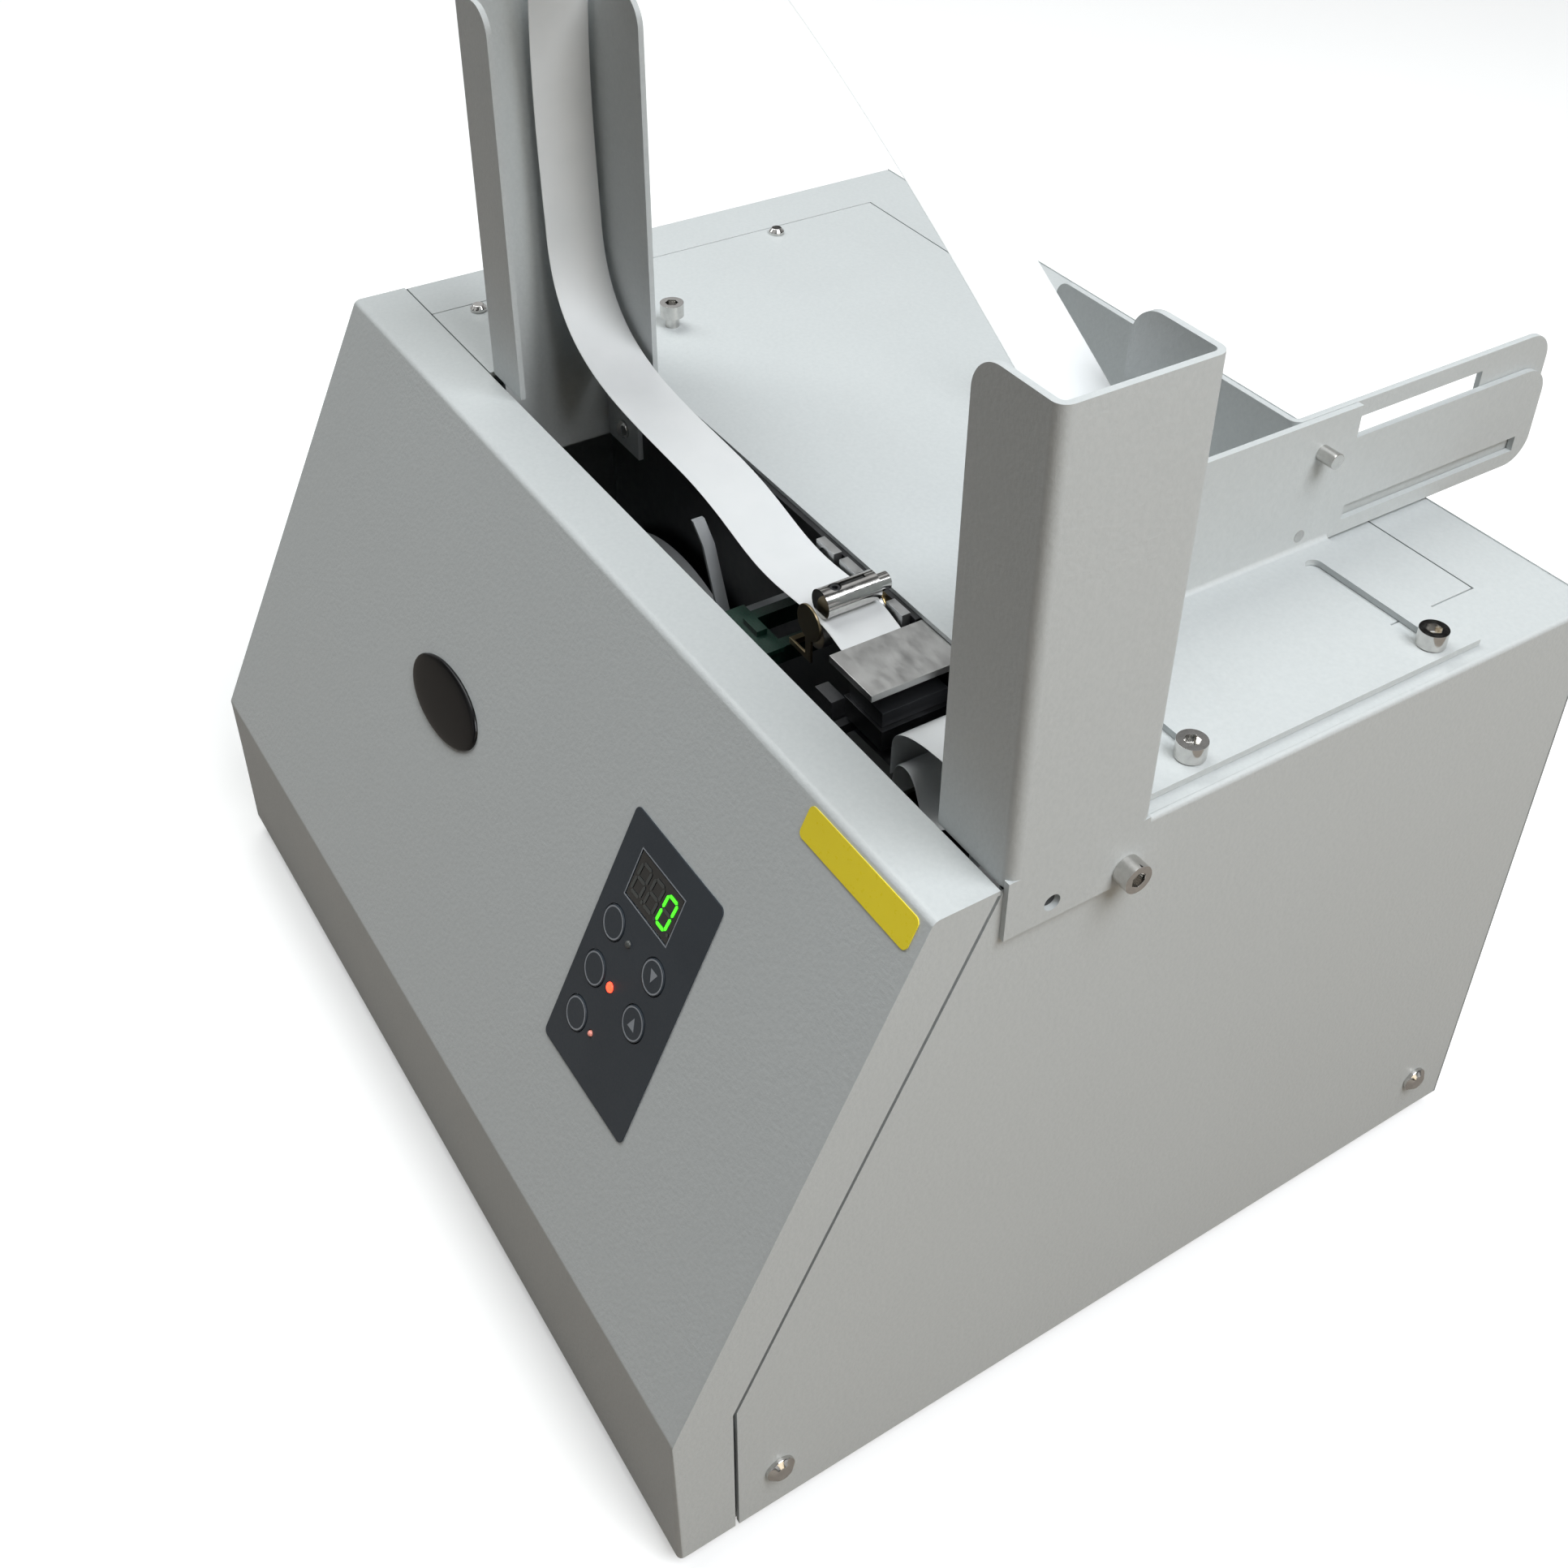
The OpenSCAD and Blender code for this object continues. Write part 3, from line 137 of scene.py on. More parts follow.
# ------------------------------------------------------------------ light
# Broad lamps high on the right and left, a weak one front left and a warm glow from the
# right. Their strengths, in watts, were fitted to the tones of the photographed faces.
lit_point = (0, 0, 0.15)
for name, place, size, watts, tint in (
        ("high_right", (1.2, 0.3, 1.9), 1.4, 42, (0.94, 0.97, 1.0)),
        ("high_left", (-0.9, -0.1, 2.1), 1.4, 24, (0.98, 1.0, 0.98)),
        ("front_left", (-1.6, -0.9, 1.6), 1.2, 8, (0.94, 0.98, 1.0)),
        ("right_fill", (2.1, 0.1, 0.9), 1.4, 5, (1.0, 0.8, 0.5))):
    lamp = bpy.data.objects.new(name, bpy.data.lights.new(name, "AREA"))
    lamp.data.shape, lamp.data.size = "DISK", size
    lamp.data.energy, lamp.data.color = watts, tint
    lamp.location = place
    lamp.rotation_euler = (Vector(lit_point) - Vector(place)).to_track_quat("-Z", "Y").to_euler()
    scene.collection.objects.link(lamp)


def spread(t, fac, low, high, a=0.3, b=0.7):
    """A value that goes from low to high as fac goes from a to b."""
    r = t.nodes.new("ShaderNodeMapRange")
    for i, value in zip((1, 2, 3, 4), (a, b, low, high)):
        r.inputs[i].default_value = value
    link(t, fac, r.inputs[0])
    return r.outputs[0]


# The room: a dim fill on the machine, light and dark patches in what shines, and a plain
# light grey where the camera looks past the machine.
world = bpy.data.worlds.new("world")
world.use_nodes = True
t = world.node_tree
ray = t.nodes.new("ShaderNodeLightPath").outputs
around = t.nodes.new("ShaderNodeTexCoord").outputs["Generated"]
patches = spread(t, noise(t, around, 2.4, 1), 0.02, 0.62, 0.44, 0.58)
mirrored = choose(t, ray["Is Glossy Ray"], (0.040, 0.041, 0.042), patches)
room = choose(t, ray["Is Camera Ray"], mirrored, (0.50, 0.505, 0.51))
link(t, room, t.nodes["Background"].inputs["Color"])
scene.world = world


# ------------------------------------------------------------------ casing
# Base pan, shell, deck plate with the ledges that carry it, and rear panel. All are bent
# steel sheet, screwed together, in a light grey powder coat that rounds their edges.
def bump(t, p, height, depth, strength):
    """Raises the surface by up to depth metres where height is 1."""
    b = t.nodes.new("ShaderNodeBump")
    b.inputs["Distance"].default_value = depth
    b.inputs["Strength"].default_value = strength
    link(t, height, b.inputs["Height"])
    link(t, b.outputs["Normal"], p.inputs["Normal"])


def powder_coat(name, low, high):
    """Baked powder: an orange peel of about a millimetre and finer, a little darker in its
    dips, over slow changes of gloss."""
    m, t, p = surface(name, Specular_IOR_Level=0.5)
    v = coords(t)
    peel = noise(t, v, 700, 3, 0.55)
    link(t, blend(t, peel, (0.25, low), (0.75, high)), p.inputs["Base Color"])
    link(t, spread(t, noise(t, v, 25, 3), 0.36, 0.48), p.inputs["Roughness"])
    bump(t, p, peel, 0.0002, 0.55)
    return m


def link_mesh(name, mesh, body, material):
    """A new piece of one material that rides on a body."""
    o = bpy.data.objects.new(name, mesh)
    scene.collection.objects.link(o)
    o.data.materials.clear()
    o.data.materials.append(material)
    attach(o, body)
    return o


def soften(bm, crease):
    """Smooth shading, with a hard line only where faces meet at more than crease degrees."""
    for f in bm.faces:
        f.smooth = True
    for e in bm.edges:
        e.smooth = not (len(e.link_faces) == 2
                        and e.calc_face_angle() > math.radians(crease))


weld, flat_angle, sharp_angle = 2e-6, math.radians(0.4), math.radians(28)
fold_length, fold_face = 0.03, 6e-4


def finish_edges(bm, width, bend):
    """Welds a solid's faces, joins the flat ones and rounds each sharp edge by width. Where
    sheet is folded, on long edges between two broad faces, the radius bend comes first."""
    bmesh.ops.remove_doubles(bm, verts=bm.verts, dist=weld)
    bmesh.ops.dissolve_limit(bm, angle_limit=flat_angle, verts=bm.verts, edges=bm.edges)
    if bend:
        folds = [e for e in bm.edges if len(e.link_faces) == 2
                 and e.calc_length() > fold_length and e.calc_face_angle() > sharp_angle
                 and min(f.calc_area() for f in e.link_faces) > fold_face]
        bmesh.ops.bevel(bm, geom=folds, offset=bend, segments=4, profile=0.5,
                        affect="EDGES", clamp_overlap=False)
    sharp = [e for e in bm.edges if len(e.link_faces) == 2
             and e.calc_face_angle() > sharp_angle]
    bmesh.ops.bevel(bm, geom=sharp, offset=width, segments=2, profile=0.6,
                    affect="EDGES", clamp_overlap=True)
    soften(bm, 35)


def dress(node, body, material, width, bend=0.0):
    """The solid with its edges rounded as the real piece's are, in place of the node."""
    bm = bmesh.new()
    bm.from_mesh(nodes[node].data)
    finish_edges(bm, width, bend)
    mesh = bpy.data.meshes.new(node + "_finished")
    bm.to_mesh(mesh)
    bm.free()
    o = link_mesh(node + "_finished", mesh, body, material)
    o.modifiers.new("flat faces", "WEIGHTED_NORMAL").keep_sharp = True
    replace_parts(o, node)


coat = powder_coat("light grey powder coat", (0.545, 0.572, 0.577), (0.585, 0.610, 0.613))
for node, width, bend in (("base_pan", 0.0004, 0), ("housing_shell", 0.0006, 0.0014),
                          ("deck_plate", 0.0004, 0), ("deck_ledges", 0.0003, 0),
                          ("rear_panel", 0.0004, 0)):
    dress(node, "machine", coat, width, bend)

# ------------------------------------------------------------------ front cover
# One coated sheet bent from the lower front edge over the slope to the slot, with a
# return on each side. It hinges along its lower edge.
dress("front_cover", "cover", coat, 0.0004, bend=0.0018)


# ------------------------------------------------------------------ tape channels
# The tall left channel and the right one with its tab, bent from coated sheet and screwed
# on. A thin black disc on the housing behind the tab's second hole is painted shade, so
# the hole reads dark.
def plastic(name, low, high, rough=(0.4, 0.55), grain=900, depth=0.00006, shine=0.5):
    """A moulded or painted skin: cloudy colour and a fine grain."""
    m, t, p = surface(name, Specular_IOR_Level=shine)
    v = coords(t)
    link(t, blend(t, noise(t, v, 40, 3), (0.3, low), (0.7, high)), p.inputs["Base Color"])
    skin = noise(t, v, grain, 2)
    link(t, spread(t, skin, *rough), p.inputs["Roughness"])
    bump(t, p, skin, depth, 0.5)
    return m


def hoop_faces(rows, n):
    """Faces over rows of n points, each row closed on itself: quads between neighbouring
    rows, and a cap on the first row and on the last."""
    i, j = (k.ravel() for k in np.indices((rows - 1, n)))
    k = (j + 1) % n
    quads = np.stack([i * n + j, i * n + k, (i + 1) * n + k, (i + 1) * n + j], 1).tolist()
    return quads + [list(range(n))[::-1], list(range((rows - 1) * n, rows * n))]


def cast(name, points, faces, place=Matrix.Identity(4)):
    """A mesh of points given in millimetres, put in place by a matrix."""
    mesh = bpy.data.meshes.new(name)
    mesh.from_pydata((np.asarray(points) / 1000).tolist(), [], faces)
    mesh.transform(place)
    return mesh


def face_out(mesh, crease):
    """Turns a closed mesh's faces outwards and smooths it up to crease degrees."""
    bm = bmesh.new()
    bm.from_mesh(mesh)
    bmesh.ops.recalc_face_normals(bm, faces=bm.faces)
    soften(bm, crease)
    bm.to_mesh(mesh)
    bm.free()


def lathe(name, body, material, profile, place, n):
    """A profile of (radius, height), in millimetres, turned about Z in n steps:
    x = r cos a, y = r sin a. Both ends are closed."""
    r, z = np.array(profile, float).T
    a = np.arange(n) * 2 * np.pi / n
    points = np.stack([np.outer(r, np.cos(a)), np.outer(r, np.sin(a)),
                       np.outer(z, np.ones(n))], -1).reshape(-1, 3)
    mesh = cast(name, points, hoop_faces(len(r), n), place)
    face_out(mesh, 30)
    return link_mesh(name, mesh, body, material)


dress("left_channel", "machine", coat, 0.0005, bend=0.0016)
dress("right_channel", "machine", coat, 0.0005, bend=0.0016)
enamel = plastic("black enamel", (0.02, 0.021, 0.023), (0.03, 0.031, 0.034), (0.28, 0.42), 500)
facing_right = Matrix.Rotation(math.radians(90), 4, "Y")
# painted shade: a thin black disc just outside the housing wall, seen through the tab's second hole
lathe("tab_hole_painted_shade", "machine", enamel, [(2.1, 0.0), (2.1, 0.25), (1.5, 0.3), (0.5, 0.2)],
      Matrix.Translation((0.180, -0.046, 0.2135)) @ facing_right, 24)

# ------------------------------------------------------------------ side guide and rear stop
# The slotted guide that slides on the deck and the stop that slides in it, both of thin
# coated sheet, bent once.
dress("side_guide", "guide", coat, 0.0004, bend=0.0012)
dress("rear_stop", "stop", coat, 0.0004, bend=0.0012)


# ------------------------------------------------------------------ screws
# Socket and dome head screws and the guide's studs, of turned steel, nickel plated
# and polished.
def metal(name, colour, rough, grain, depth):
    """Bare or plated metal with fine drawn marks of grain waves a metre along each axis."""
    m, t, p = surface(name, Metallic=1.0)
    marks = noise(t, coords(t, grain), 1.0, 4, 0.6)
    dull = [c * 0.84 for c in colour]
    link(t, blend(t, marks, (0.3, dull), (0.7, colour)), p.inputs["Base Color"])
    link(t, spread(t, marks, *rough), p.inputs["Roughness"])
    bump(t, p, marks, depth, 0.5)
    return m


nickel = metal("nickel plate", (0.66, 0.65, 0.63), (0.07, 0.15), (500, 500, 500), 0.000004)
for node in ("side_screws", "deck_screws", "channel_screws", "clamp_screws", "rear_screws"):
    dress(node, "machine", nickel, 0.00022)
dress("guide_studs", "guide", nickel, 0.0002)

# ------------------------------------------------------------------ plate and brackets
# The upright plate that carries the feed, the cam and the anvil, of blackened steel, and
# the zinc plated brackets and catches of the cover and guide of the press.
blackened = metal("blackened steel", (0.075, 0.076, 0.08), (0.36, 0.5), (300, 300, 300), 0.00002)
zinc = metal("zinc plate", (0.47, 0.475, 0.48), (0.34, 0.5), (260, 260, 260), 0.00002)
dress("mechanism_plate", "machine", blackened, 0.0003)
for node in ("hinge_brackets", "cover_catches", "press_guide"):
    dress(node, "machine", zinc, 0.0002)

# ------------------------------------------------------------------ guide pin
# The bright pin that turns the tape into the slot, the bronze disc on its arm, the thin
# sensor strip and the three small blocks that stand round the feed.
bronze = metal("dark bronze", (0.26, 0.21, 0.13), (0.3, 0.45), (400, 400, 400), 0.00001)
tinted = plastic("grey moulded plastic", (0.24, 0.25, 0.26), (0.28, 0.29, 0.30))
dress("guide_post", "machine", nickel, 0.0002)
dress("tape_lip", "machine", bronze, 0.0002)
dress("sensor_arm", "machine", tinted, 0.0002)
dress("guide_blocks", "machine", zinc, 0.0004)


def prism(outline, low, high):
    """Points and faces of a flat outline of (x, y) drawn up from low to high and closed."""
    outline = np.array(outline, float)
    n = len(outline)
    points = [np.column_stack([outline, np.full(n, z)]) for z in (low, high)]
    return np.concatenate(points), hoop_faces(2, n)


# Painted shade: a dark bar with rounded edges laid in the pin's groove, and a black plug
# sunk in the pin's hole, so the groove and the hole read dark.
rubber = plastic("black rubber", (0.016, 0.016, 0.016), (0.028, 0.028, 0.028),
                 (0.65, 0.85), 700, 0.0001)
# painted shade: a dark bar laid in the pin's groove
groove_shade = cast("post_groove_painted_shade", *prism([(66.72, -31.9), (68.28, -31.9), (68.28, -24.1),
                                 (66.72, -24.1)], 229.95, 231.35))
bm = bmesh.new()
bm.from_mesh(groove_shade)
bmesh.ops.bevel(bm, geom=list(bm.edges), offset=0.0002, segments=2, affect="EDGES")
soften(bm, 180)
bm.to_mesh(groove_shade)
bm.free()
link_mesh("post_groove_painted_shade", groove_shade, "machine", rubber)
# painted shade: a black plug sunk in the pin's hole
lathe("post_hole_painted_shade", "machine", enamel,
      [(1.8, -1.6), (1.8, -0.3), (1.5, 0.0), (0.9, 0.0), (0.8, -1.0)],
      Matrix.Translation((0.0675, -0.034, 0.2313)), 32)

# ------------------------------------------------------------------ feed, press and anvil
# Roller, gear, cam and anvil are ground steel, on a brass bearing and plated pins. The
# press is blackened and carries the enamelled heater that bonds the tape.
brass = metal("brass", (0.70, 0.52, 0.25), (0.2, 0.36), (500, 500, 500), 0.00003)
black = plastic("black moulded plastic", (0.018, 0.019, 0.021), (0.026, 0.027, 0.030))
ground = metal("ground steel", (0.52, 0.52, 0.515), (0.3, 0.46), (120, 260, 260), 0.00002)
dress("feed_bearing", "machine", brass, 0.0002)
dress("tape_sensor", "machine", black, 0.0004)
dress("turning_pins", "machine", nickel, 0.0003)
dress("reel_spindle", "machine", ground, 0.0003)
dress("feed_roller", "roller", ground, 0.0001)
dress("feed_gear", "drive_gear", ground, 0.0001)
dress("cam_shaft", "cam", ground, 0.0003)
dress("press_head", "press", blackened, 0.0003)
dress("bonding_heater", "press", enamel, 0.0004)
dress("anvil_plate", "anvil", ground, 0.0005)

# ------------------------------------------------------------------ motors and reel core
# Two gear motors in black enamel, the plated solenoid that draws the anvil, and the
# moulded core that the roll turns on. The motors bolt to the upright plate.
dress("feed_motor", "machine", enamel, 0.0006)
dress("cam_motor", "machine", enamel, 0.0006)
dress("anvil_solenoid", "machine", zinc, 0.0004)
dress("reel_core", "reel", black, 0.0002)

# ------------------------------------------------------------------ feet and mains parts
# Moulded rubber feet, and in the rear panel the appliance inlet, the fuse holder and the
# rocker switch, all moulded in black plastic and snapped in.
dress("rubber_feet", "machine", rubber, 0.0006)
for node in ("power_inlet", "fuse_holder", "switch_housing"):
    dress(node, "machine", black, 0.0004)
dress("power_rocker", "rocker", black, 0.0003)


# ------------------------------------------------------------------ paper tape
# The strap of smooth white paper in its arch, and the supply that feeds it: each is one
# cut strip of one width that follows the same curves as its solid.
def bezier(a, b, c, d, n):
    """Points after a on the cubic curve a, b, c, d in the X-Z plane."""
    t = (np.arange(1, n + 1) / n)[:, None]
    a, b, c, d = map(np.array, (a, b, c, d))
    return (1 - t) ** 3 * a + 3 * (1 - t) ** 2 * t * b + 3 * (1 - t) * t ** 2 * c + t ** 3 * d


def paper(name):
    """Smooth white paper with faint fibres."""
    m, t, p = surface(name, Specular_IOR_Level=0.35)
    fibres = noise(t, coords(t, (1, 0.25, 1)), 1500, 3)
    link(t, blend(t, noise(t, coords(t), 60, 3), (0.3, (0.76, 0.775, 0.78)),
                  (0.7, (0.80, 0.81, 0.815))), p.inputs["Base Color"])
    link(t, spread(t, fibres, 0.45, 0.6), p.inputs["Roughness"])
    bump(t, p, fibres, 0.00004, 0.4)
    return m


white_paper = paper("white paper tape")
tape_low, tape_high, tape_thick = -40, -20, 0.3
edge_in = np.array([0.0, 0.12, 0.5])
edge_round = np.array([0.12, 0.03, 0.0])


def ribbon(name, path, node):
    """A strip of tape between its two Y planes along a path in the X-Z plane. Each section
    is a thin bar with rounded edges: every point of the path, moved to the path's left by
    the section's height there."""
    path = np.array(path, float)
    step = np.linalg.norm(np.diff(path, axis=0), axis=1)
    path = path[np.concatenate([[True], step > 1e-6])]
    along = np.gradient(path, axis=0)
    along /= np.linalg.norm(along, axis=1)[:, None]
    left = np.stack([-along[:, 1], along[:, 0]], 1)
    across = np.concatenate([tape_low + edge_in, [(tape_low + tape_high) / 2],
                             (tape_high - edge_in)[::-1]])
    inset = np.concatenate([edge_round, [0.0], edge_round[::-1]])
    height = np.concatenate([inset, tape_thick - inset[::-1]])
    across = np.concatenate([across, across[::-1]])
    points = np.stack([path[:, :1] + left[:, :1] * height,
                       np.ones((len(path), 1)) * across,
                       path[:, 1:] + left[:, 1:] * height], -1).reshape(-1, 3)
    mesh = cast(name, points, hoop_faces(len(path), len(across)))
    face_out(mesh, 50)
    o = link_mesh(name, mesh, "machine", white_paper)
    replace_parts(o, node)


over_feet = (0, 8)
strap = np.concatenate([
    [(100.5, 211.35), (86.7, 211.35)],
    bezier((86.7, 211.35), (79.7, 211.35), (75.5, 214.55), (68.5, 214.55), 12),
    bezier((68.5, 214.55), (58, 214.55), (51, 213.25), (43, 213.25), 12),
    bezier((43, 213.25), (25, 213.25), (18, 219.7), (-8, 221.5), 24),
    bezier((-8, 221.5), (-50, 224), (-96.5, 220), (-96.5, 268), 36),
    bezier((-96.5, 268), (-100.5, 331), (-102.5, 404), (-30, 404), 48),
    bezier((-30, 404), (28, 404), (100, 358.2), (148, 327), 48),
    bezier((148, 327), (165, 316), (176.4, 304), (176.4, 282), 20),
    [(176.4, 256), (176.4, 230)],
    bezier((176.4, 230), (176.4, 210), (152, 208), (128, 207.4), 24),
    bezier((128, 207.4), (118, 206.6), (106.7, 204.5), (105.9, 197), 16),
    [(105.7, 186)]]) + over_feet
ribbon("tape_arch", strap, "paper_tape")

turn_centre, turn_radius = np.array([134, 34]), 6.6
round_the_pin = np.radians(np.arange(-80, 1, 10))
supply = np.concatenate([
    [(-50, 23.4)],
    bezier((-50, 23.4), (12, 23.4), (84, 27.4), (134, 27.4), 24),
    turn_centre + turn_radius * np.stack([np.cos(round_the_pin), np.sin(round_the_pin)], 1),
    [(140.6, 96), (140.6, 146)],
    bezier((140.6, 146), (140.7, 172.5), (146, 191), (140, 191), 16),
    bezier((140, 191), (134, 191), (130, 181.5), (124, 181.5), 16),
    bezier((124, 181.5), (119, 181.5), (119, 193), (113, 193), 16),
    bezier((113, 193), (107, 193), (106.5, 186.5), (107, 178.5), 16)]) + over_feet
ribbon("tape_supply_ribbon", supply, "tape_supply")


# ------------------------------------------------------------------ roll of tape
# The supply roll of the same paper, wound on its core. Its flat sides show the turns as
# fine rings about the spindle.
def wound_paper(name, centre, pitch):
    """Rings: a sine of the distance from the roll's axis, one wave in each pitch."""
    m, t, p = surface(name)
    c = t.nodes.new("ShaderNodeTexCoord")
    from_axis, flattened, distance = (t.nodes.new("ShaderNodeVectorMath") for _ in range(3))
    from_axis.operation, flattened.operation = "SUBTRACT", "MULTIPLY"
    distance.operation = "LENGTH"
    from_axis.inputs[1].default_value = (centre[0], 0, centre[1])
    flattened.inputs[1].default_value = (1, 0, 1)
    phase, wave = (t.nodes.new("ShaderNodeMath") for _ in range(2))
    phase.operation, wave.operation = "MULTIPLY", "SINE"
    phase.inputs[1].default_value = 2 * math.pi / pitch
    link(t, c.outputs["Object"], from_axis.inputs[0])
    link(t, from_axis.outputs[0], flattened.inputs[0])
    link(t, flattened.outputs[0], distance.inputs[0])
    link(t, distance.outputs["Value"], phase.inputs[0])
    link(t, phase.outputs[0], wave.inputs[0])
    turns = spread(t, wave.outputs[0], 0, 1, -1, 1)
    link(t, blend(t, turns, (0.0, (0.62, 0.63, 0.64)), (1.0, (0.80, 0.81, 0.82))),
         p.inputs["Base Color"])
    link(t, spread(t, noise(t, coords(t), 200), 0.5, 0.7), p.inputs["Roughness"])
    bump(t, p, wave.outputs[0], 0.00008, 0.5)
    return m


roll_centre, ring_pitch = (-0.048, 0.100), 0.0023
dress("tape_roll", "reel", wound_paper("wound paper", roll_centre, ring_pitch), 0.0003)


# ------------------------------------------------------------------ boards and transformer
# Green glass-fibre boards with printed traces, soldered up and screwed on, and the
# transformer with its stack of stamped laminations.
def board(name):
    """Dark green lacquer over lighter traces, as a fine pattern of bricks."""
    m, t, p = surface(name, Coat_Weight=0.15, Coat_Roughness=0.25)
    v = coords(t)
    b = t.nodes.new("ShaderNodeTexBrick")
    b.inputs["Scale"].default_value = 260
    b.inputs["Mortar Size"].default_value = 0.09
    b.inputs["Color1"].default_value = (0.003, 0.014, 0.010, 1)
    b.inputs["Color2"].default_value = (0.0035, 0.017, 0.012, 1)
    b.inputs["Mortar"].default_value = (0.007, 0.034, 0.022, 1)
    link(t, v, b.inputs["Vector"])
    link(t, b.outputs["Color"], p.inputs["Base Color"])
    link(t, spread(t, noise(t, v, 300), 0.3, 0.45), p.inputs["Roughness"])
    bump(t, p, b.outputs["Fac"], 0.00003, 0.6)
    return m


green = board("green circuit board")
dress("sensor_board", "machine", green, 0.0001)
dress("control_board", "machine", green, 0.0002)
dress("panel_board", "cover", green, 0.0001)
laminations = metal("stamped laminations", (0.42, 0.43, 0.45), (0.35, 0.5), (40, 40, 2600), 0.0001)
dress("transformer", "machine", laminations, 0.0003)

# ------------------------------------------------------------------ control panel
# A dark slate film glued on the slope, with five membrane keys under it and a smoked
# window for the display. Its rings, arrows and border are printed in light grey.
film = plastic("dark slate film", (0.026, 0.035, 0.046), (0.033, 0.043, 0.055),
               (0.34, 0.46), 1400, 0.00003)
print_grey = plastic("printed light grey", (0.26, 0.28, 0.31), (0.31, 0.33, 0.36),
                     (0.4, 0.5), 1400, 0.00001)
dress("panel_overlay", "cover", film, 0.0001)
for node in ("key_a", "key_b", "key_c", "key_up", "key_down"):
    dress(node, node + "_cap", film, 0.0003)
smoke, t, p = surface("smoked window", Roughness=0.12, Coat_Weight=0.5)
link(t, blend(t, noise(t, coords(t), 120), (0.3, (0.012, 0.014, 0.015)),
              (0.7, (0.018, 0.020, 0.021))), p.inputs["Base Color"])
dress("display_module", "cover", smoke, 0.0001)


# ------------------------------------------------------------------ display
# Three seven-segment digits of cast bars behind the window, that lean to the right. Only
# the last one is lit, and it shows a nought.
def glowing(name, colour, strength):
    """A lit lens: the same colour, slightly cloudy, thrown back and sent out."""
    m, t, p = surface(name, Emission_Strength=strength, Roughness=0.3)
    dimmer = [k * 0.85 for k in colour]
    c = blend(t, noise(t, coords(t), 900), (0.3, dimmer), (0.7, colour))
    link(t, c, p.inputs["Base Color"])
    link(t, c, p.inputs["Emission Color"])
    return m


def slope(x, s):
    """Matrix of a place on the sloping front: x from the middle and s up from the crease, in
    millimetres, with Z out from the face."""
    crease = Matrix.Translation((x / 1000, -0.154, 0.068))
    tilt = Matrix.Rotation(math.radians(64.6223), 4, "X")
    return crease @ tilt @ Matrix.Translation((0, s / 1000, 0))


def joined(name, parts, place):
    """One mesh of several (points, faces), in millimetres, put in place by a matrix."""
    starts = np.cumsum([0] + [len(points) for points, _ in parts])
    faces = [[start + i for i in face] for start, (_, some) in zip(starts.tolist(), parts)
             for face in some]
    return cast(name, np.concatenate([points for points, _ in parts]), faces, place)


digit_high, digit_wide, bar_wide = 9.6, 4.7, 1.05
bar_gap, bar_lean, dot_radius, dot_gap = 0.22, 0.105, 0.55, 1.1
bar_levels = (0.42, 0.5)
window = slope(91, 111.5)
bars = {"a": (0, digit_high / 2, False), "g": (0, 0, False), "d": (0, -digit_high / 2, False),
        "b": (digit_wide / 2, digit_high / 4, True), "c": (digit_wide / 2, -digit_high / 4, True),
        "e": (-digit_wide / 2, -digit_high / 4, True), "f": (-digit_wide / 2, digit_high / 4, True)}


def digits(name, material, places, shown, dots):
    """The shown bars of the digits at some x places, each a flat bar with pointed ends, moved
    to its place in the digit and leaned by x = x + lean * y, and their round dots."""
    parts = []
    for x in places:
        for key in shown:
            cx, cy, upright = bars[key]
            half = (digit_high / 4 if upright else digit_wide / 2) - bar_gap
            edge = half - bar_wide / 2
            bar = np.array([(-half, 0), (-edge, -bar_wide / 2), (edge, -bar_wide / 2),
                            (half, 0), (edge, bar_wide / 2), (-edge, bar_wide / 2)])
            if upright:
                bar = bar[:, ::-1] * (-1, 1)
            bar = bar + (cx, cy)
            bar[:, 0] += bar_lean * bar[:, 1] + x
            parts.append(prism(bar, *bar_levels))
        if dots:
            a = np.linspace(0, 2 * np.pi, 16, endpoint=False)
            dot = dot_radius * np.stack([np.cos(a), np.sin(a)], 1)
            parts.append(prism(dot + (x + digit_wide / 2 + dot_gap, -digit_high / 2), *bar_levels))
    link_mesh(name, joined(name, parts, window), "cover", material)


unlit = plastic("unlit segment", (0.065, 0.070, 0.068), (0.085, 0.090, 0.087),
                (0.3, 0.4), 600, 0.00001)
lit_green = glowing("lit green segment", (0.07, 1.0, 0.02), 1.6)
digits("digits_unlit", unlit, (-7.4, -0.2), "abcdefg", True)
digits("digit_middle_bar", unlit, (7.0,), "g", True)
digits("digit_lit", lit_green, (7.0,), "abcdef", False)


# ------------------------------------------------------------------ print on the panel
# A ring round each key, an arrow on the two that count up and down, and the border of the
# display's window, screen printed on the film.
def flat_ring(r, width, low, high, n=48):
    """Points and faces of a flat ring: four circles, outer low, outer high, inner high and
    inner low, each joined to the next and the last to the first."""
    a = np.linspace(0, 2 * np.pi, n, endpoint=False)
    points = [np.column_stack([radius * np.cos(a), radius * np.sin(a), np.full(n, z)])
              for radius, z in ((r, low), (r, high), (r - width, high), (r - width, low))]
    i, j = (k.ravel() for k in np.indices((4, n)))
    k, up = (j + 1) % n, (i + 1) % 4
    faces = np.stack([i * n + j, i * n + k, up * n + k, up * n + j], 1).tolist()
    return np.concatenate(points), faces


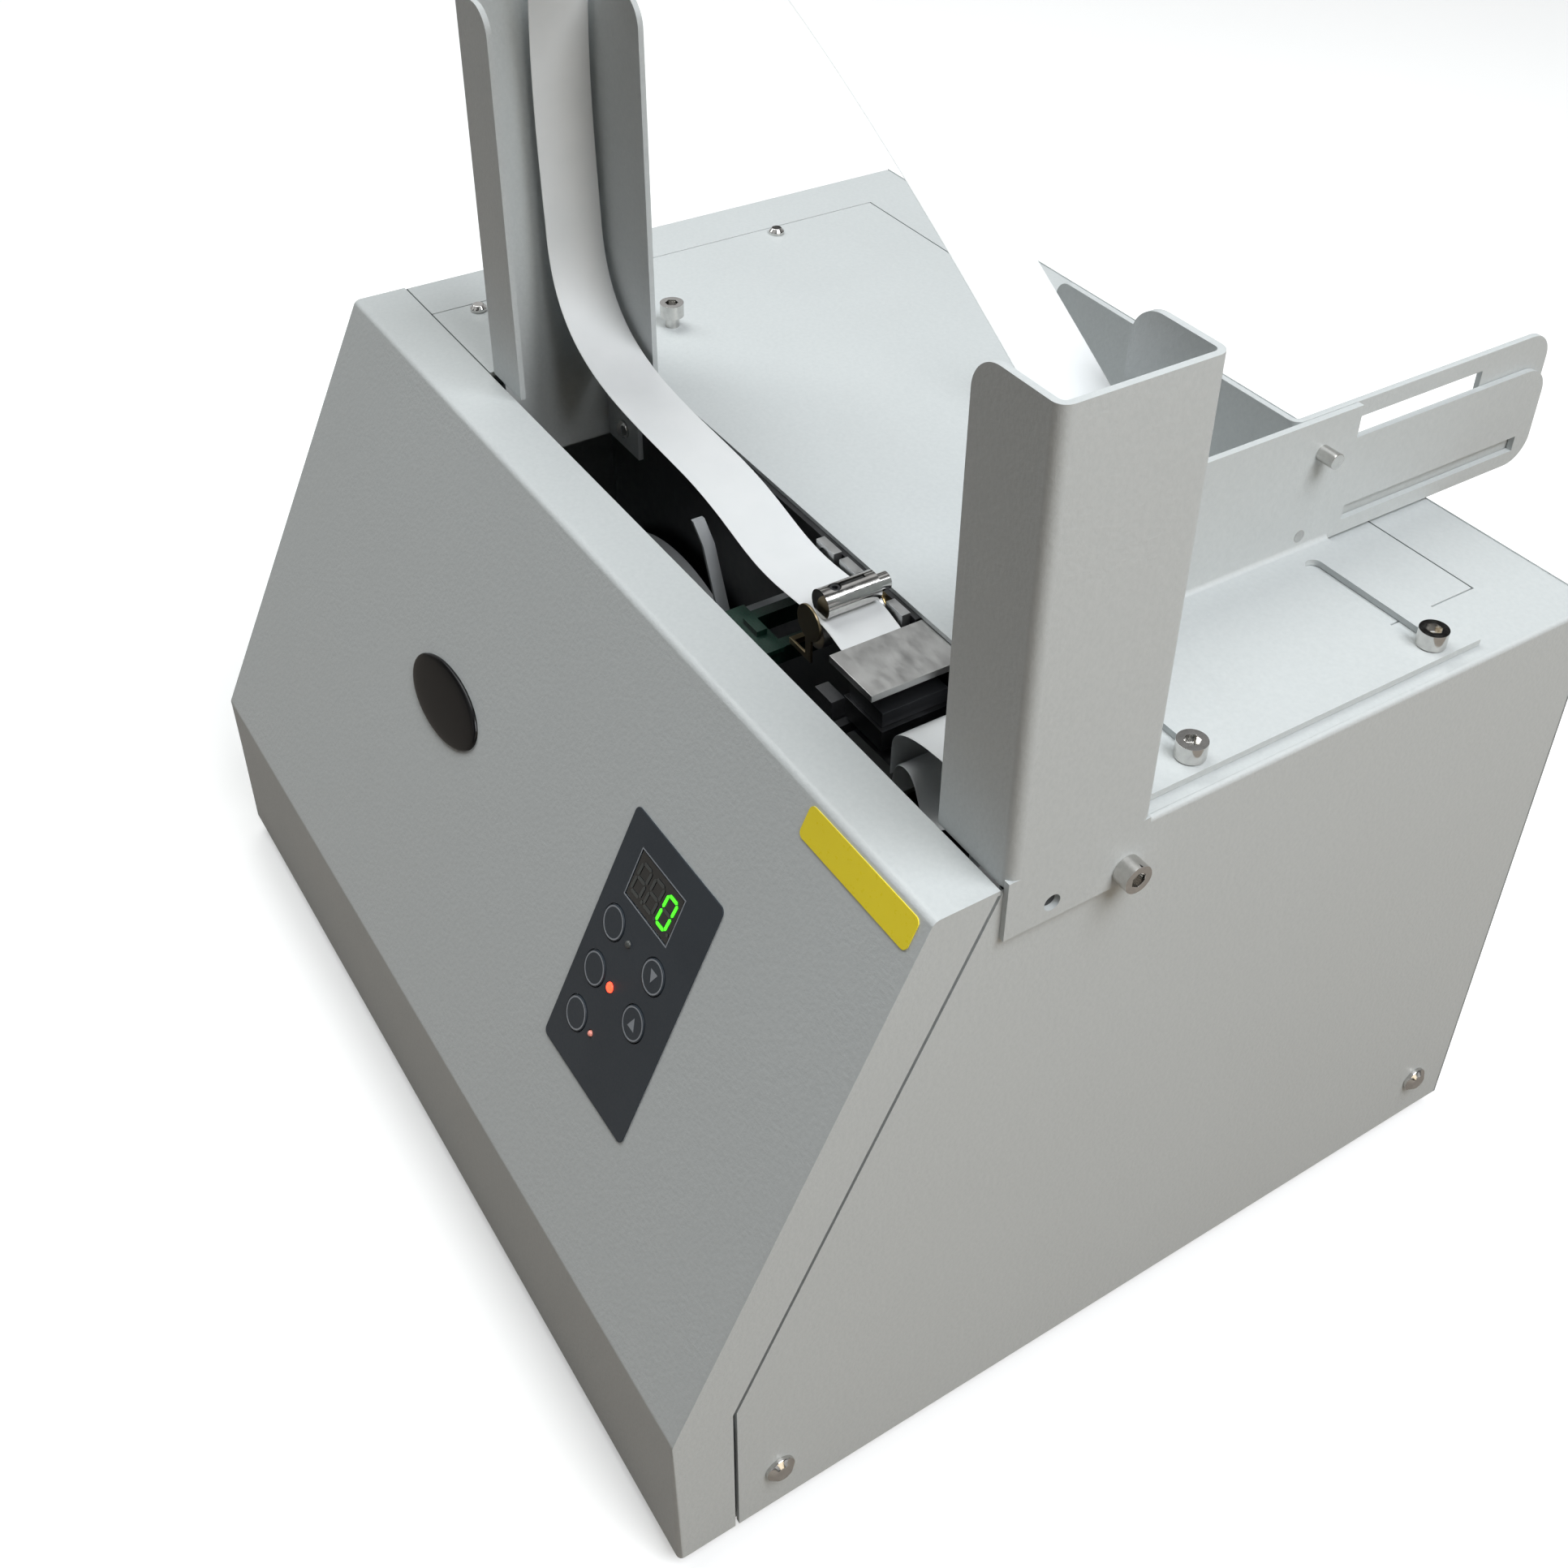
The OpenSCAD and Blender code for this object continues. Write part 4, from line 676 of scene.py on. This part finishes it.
key_levels, border_levels = (0.68, 0.74), (0.4, 0.46)
for node, x, s, arrow in (("key_a", 79.9, 94.1, 0), ("key_b", 79.9, 77.9, 0),
                          ("key_c", 80.1, 61.8, 0), ("key_up", 103.1, 93.7, -1),
                          ("key_down", 103.2, 77.5, 1)):
    parts = [flat_ring(4.85, 0.42, *key_levels)]
    if arrow:
        head = [(-1.7, -1.7 * arrow), (1.7, -1.7 * arrow), (0, 1.9 * arrow)]
        parts.append(prism(head[::arrow], *key_levels))
    link_mesh(node + "_print", joined(node + "_print", parts, slope(x, s)), node + "_cap",
              print_grey)

border = [prism([(x0, y0), (x1, y0), (x1, y1), (x0, y1)], *border_levels)
          for x0, x1, y0, y1 in ((-12.1, 12.1, 7.6, 7.95), (-12.1, 12.1, -7.95, -7.6),
                                 (-12.1, -11.75, -7.6, 7.6), (11.75, 12.1, -7.6, 7.6))]
link_mesh("window_border", joined("window_border", border, window), "cover", print_grey)

# ------------------------------------------------------------------ lamps
# Three small moulded lenses that stand through the film: the first is dark, the middle one
# is lit red and larger in its glow, and the last one is dim.
lens = [(1.15, 0.1), (1.15, 0.4), (1.05, 0.75), (0.8, 1.0), (0.45, 1.15), (0.12, 1.2)]
lit_red = glowing("lit red lamp", (1.0, 0.05, 0.02), 4.0)
dim_red = glowing("dim red lamp", (0.8, 0.30, 0.24), 0.25)
for i, (s, glow, wide) in enumerate(((93.5, unlit, 1.0), (78.3, lit_red, 1.35),
                                     (61.7, dim_red, 0.75))):
    o = lathe(f"lamp_{i}", "cover", glow, [(r * wide, z) for r, z in lens], slope(88.8, s),
              32)
    if i == 0:
        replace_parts(o, "panel_leds")

# ------------------------------------------------------------------ badge
# An oval badge stuck on the slope: a bare black resin dome. Each row of the dome is the
# oval scaled by k and raised by z: x = 24.1 k cos a, y = 10.9 k sin a, in millimetres.
badge_rows = np.array([(1.0, 0.0), (1.0, 0.7), (0.985, 0.9), (0.95, 1.02), (0.85, 1.15),
                       (0.65, 1.27), (0.35, 1.34), (0.02, 1.36)])
badge_long, badge_wide, badge_points = 24.1, 10.9, 72
resin = plastic("black resin", (0.003, 0.003, 0.0035), (0.005, 0.005, 0.0055),
                (0.16, 0.22), 300, 0.00001, 0.3)
a = np.arange(badge_points) * 2 * np.pi / badge_points
k, z = badge_rows.T
points = np.stack([np.outer(badge_long * k, np.cos(a)), np.outer(badge_wide * k, np.sin(a)),
                   np.outer(z, np.ones(badge_points))], -1).reshape(-1, 3)
faces = hoop_faces(len(badge_rows), badge_points)
del faces[-2]  # the first row lies on the cover and stays open
mesh = cast("badge_dome", points, faces, slope(-37.5, 92))
mesh.polygons.foreach_set("use_smooth", [True] * len(mesh.polygons))
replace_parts(link_mesh("badge_dome", mesh, "cover", resin), "badge")

# ------------------------------------------------------------------ strip
# A narrow strip of bare yellow vinyl with round corners, stuck on the slope beside
# the slot.
yellow = plastic("yellow vinyl", (0.95, 0.77, 0.03), (0.99, 0.81, 0.035),
                 (0.26, 0.38), 900, 0.00001)
corner_radius = 1.8
corners = [(cx + corner_radius * math.cos(turn), cy + corner_radius * math.sin(turn))
           for cx, cy, start in ((44.6, 1.8, -90), (44.6, 7.6, 0), (1.8, 7.6, 90), (1.8, 1.8, 180))
           for turn in np.radians(np.linspace(start, start + 90, 7))]
mesh = cast("strip_vinyl", *prism(corners, 0.0, 0.3), slope(130, 160.96))
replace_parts(link_mesh("strip_vinyl", mesh, "cover", yellow), "notice_strip")
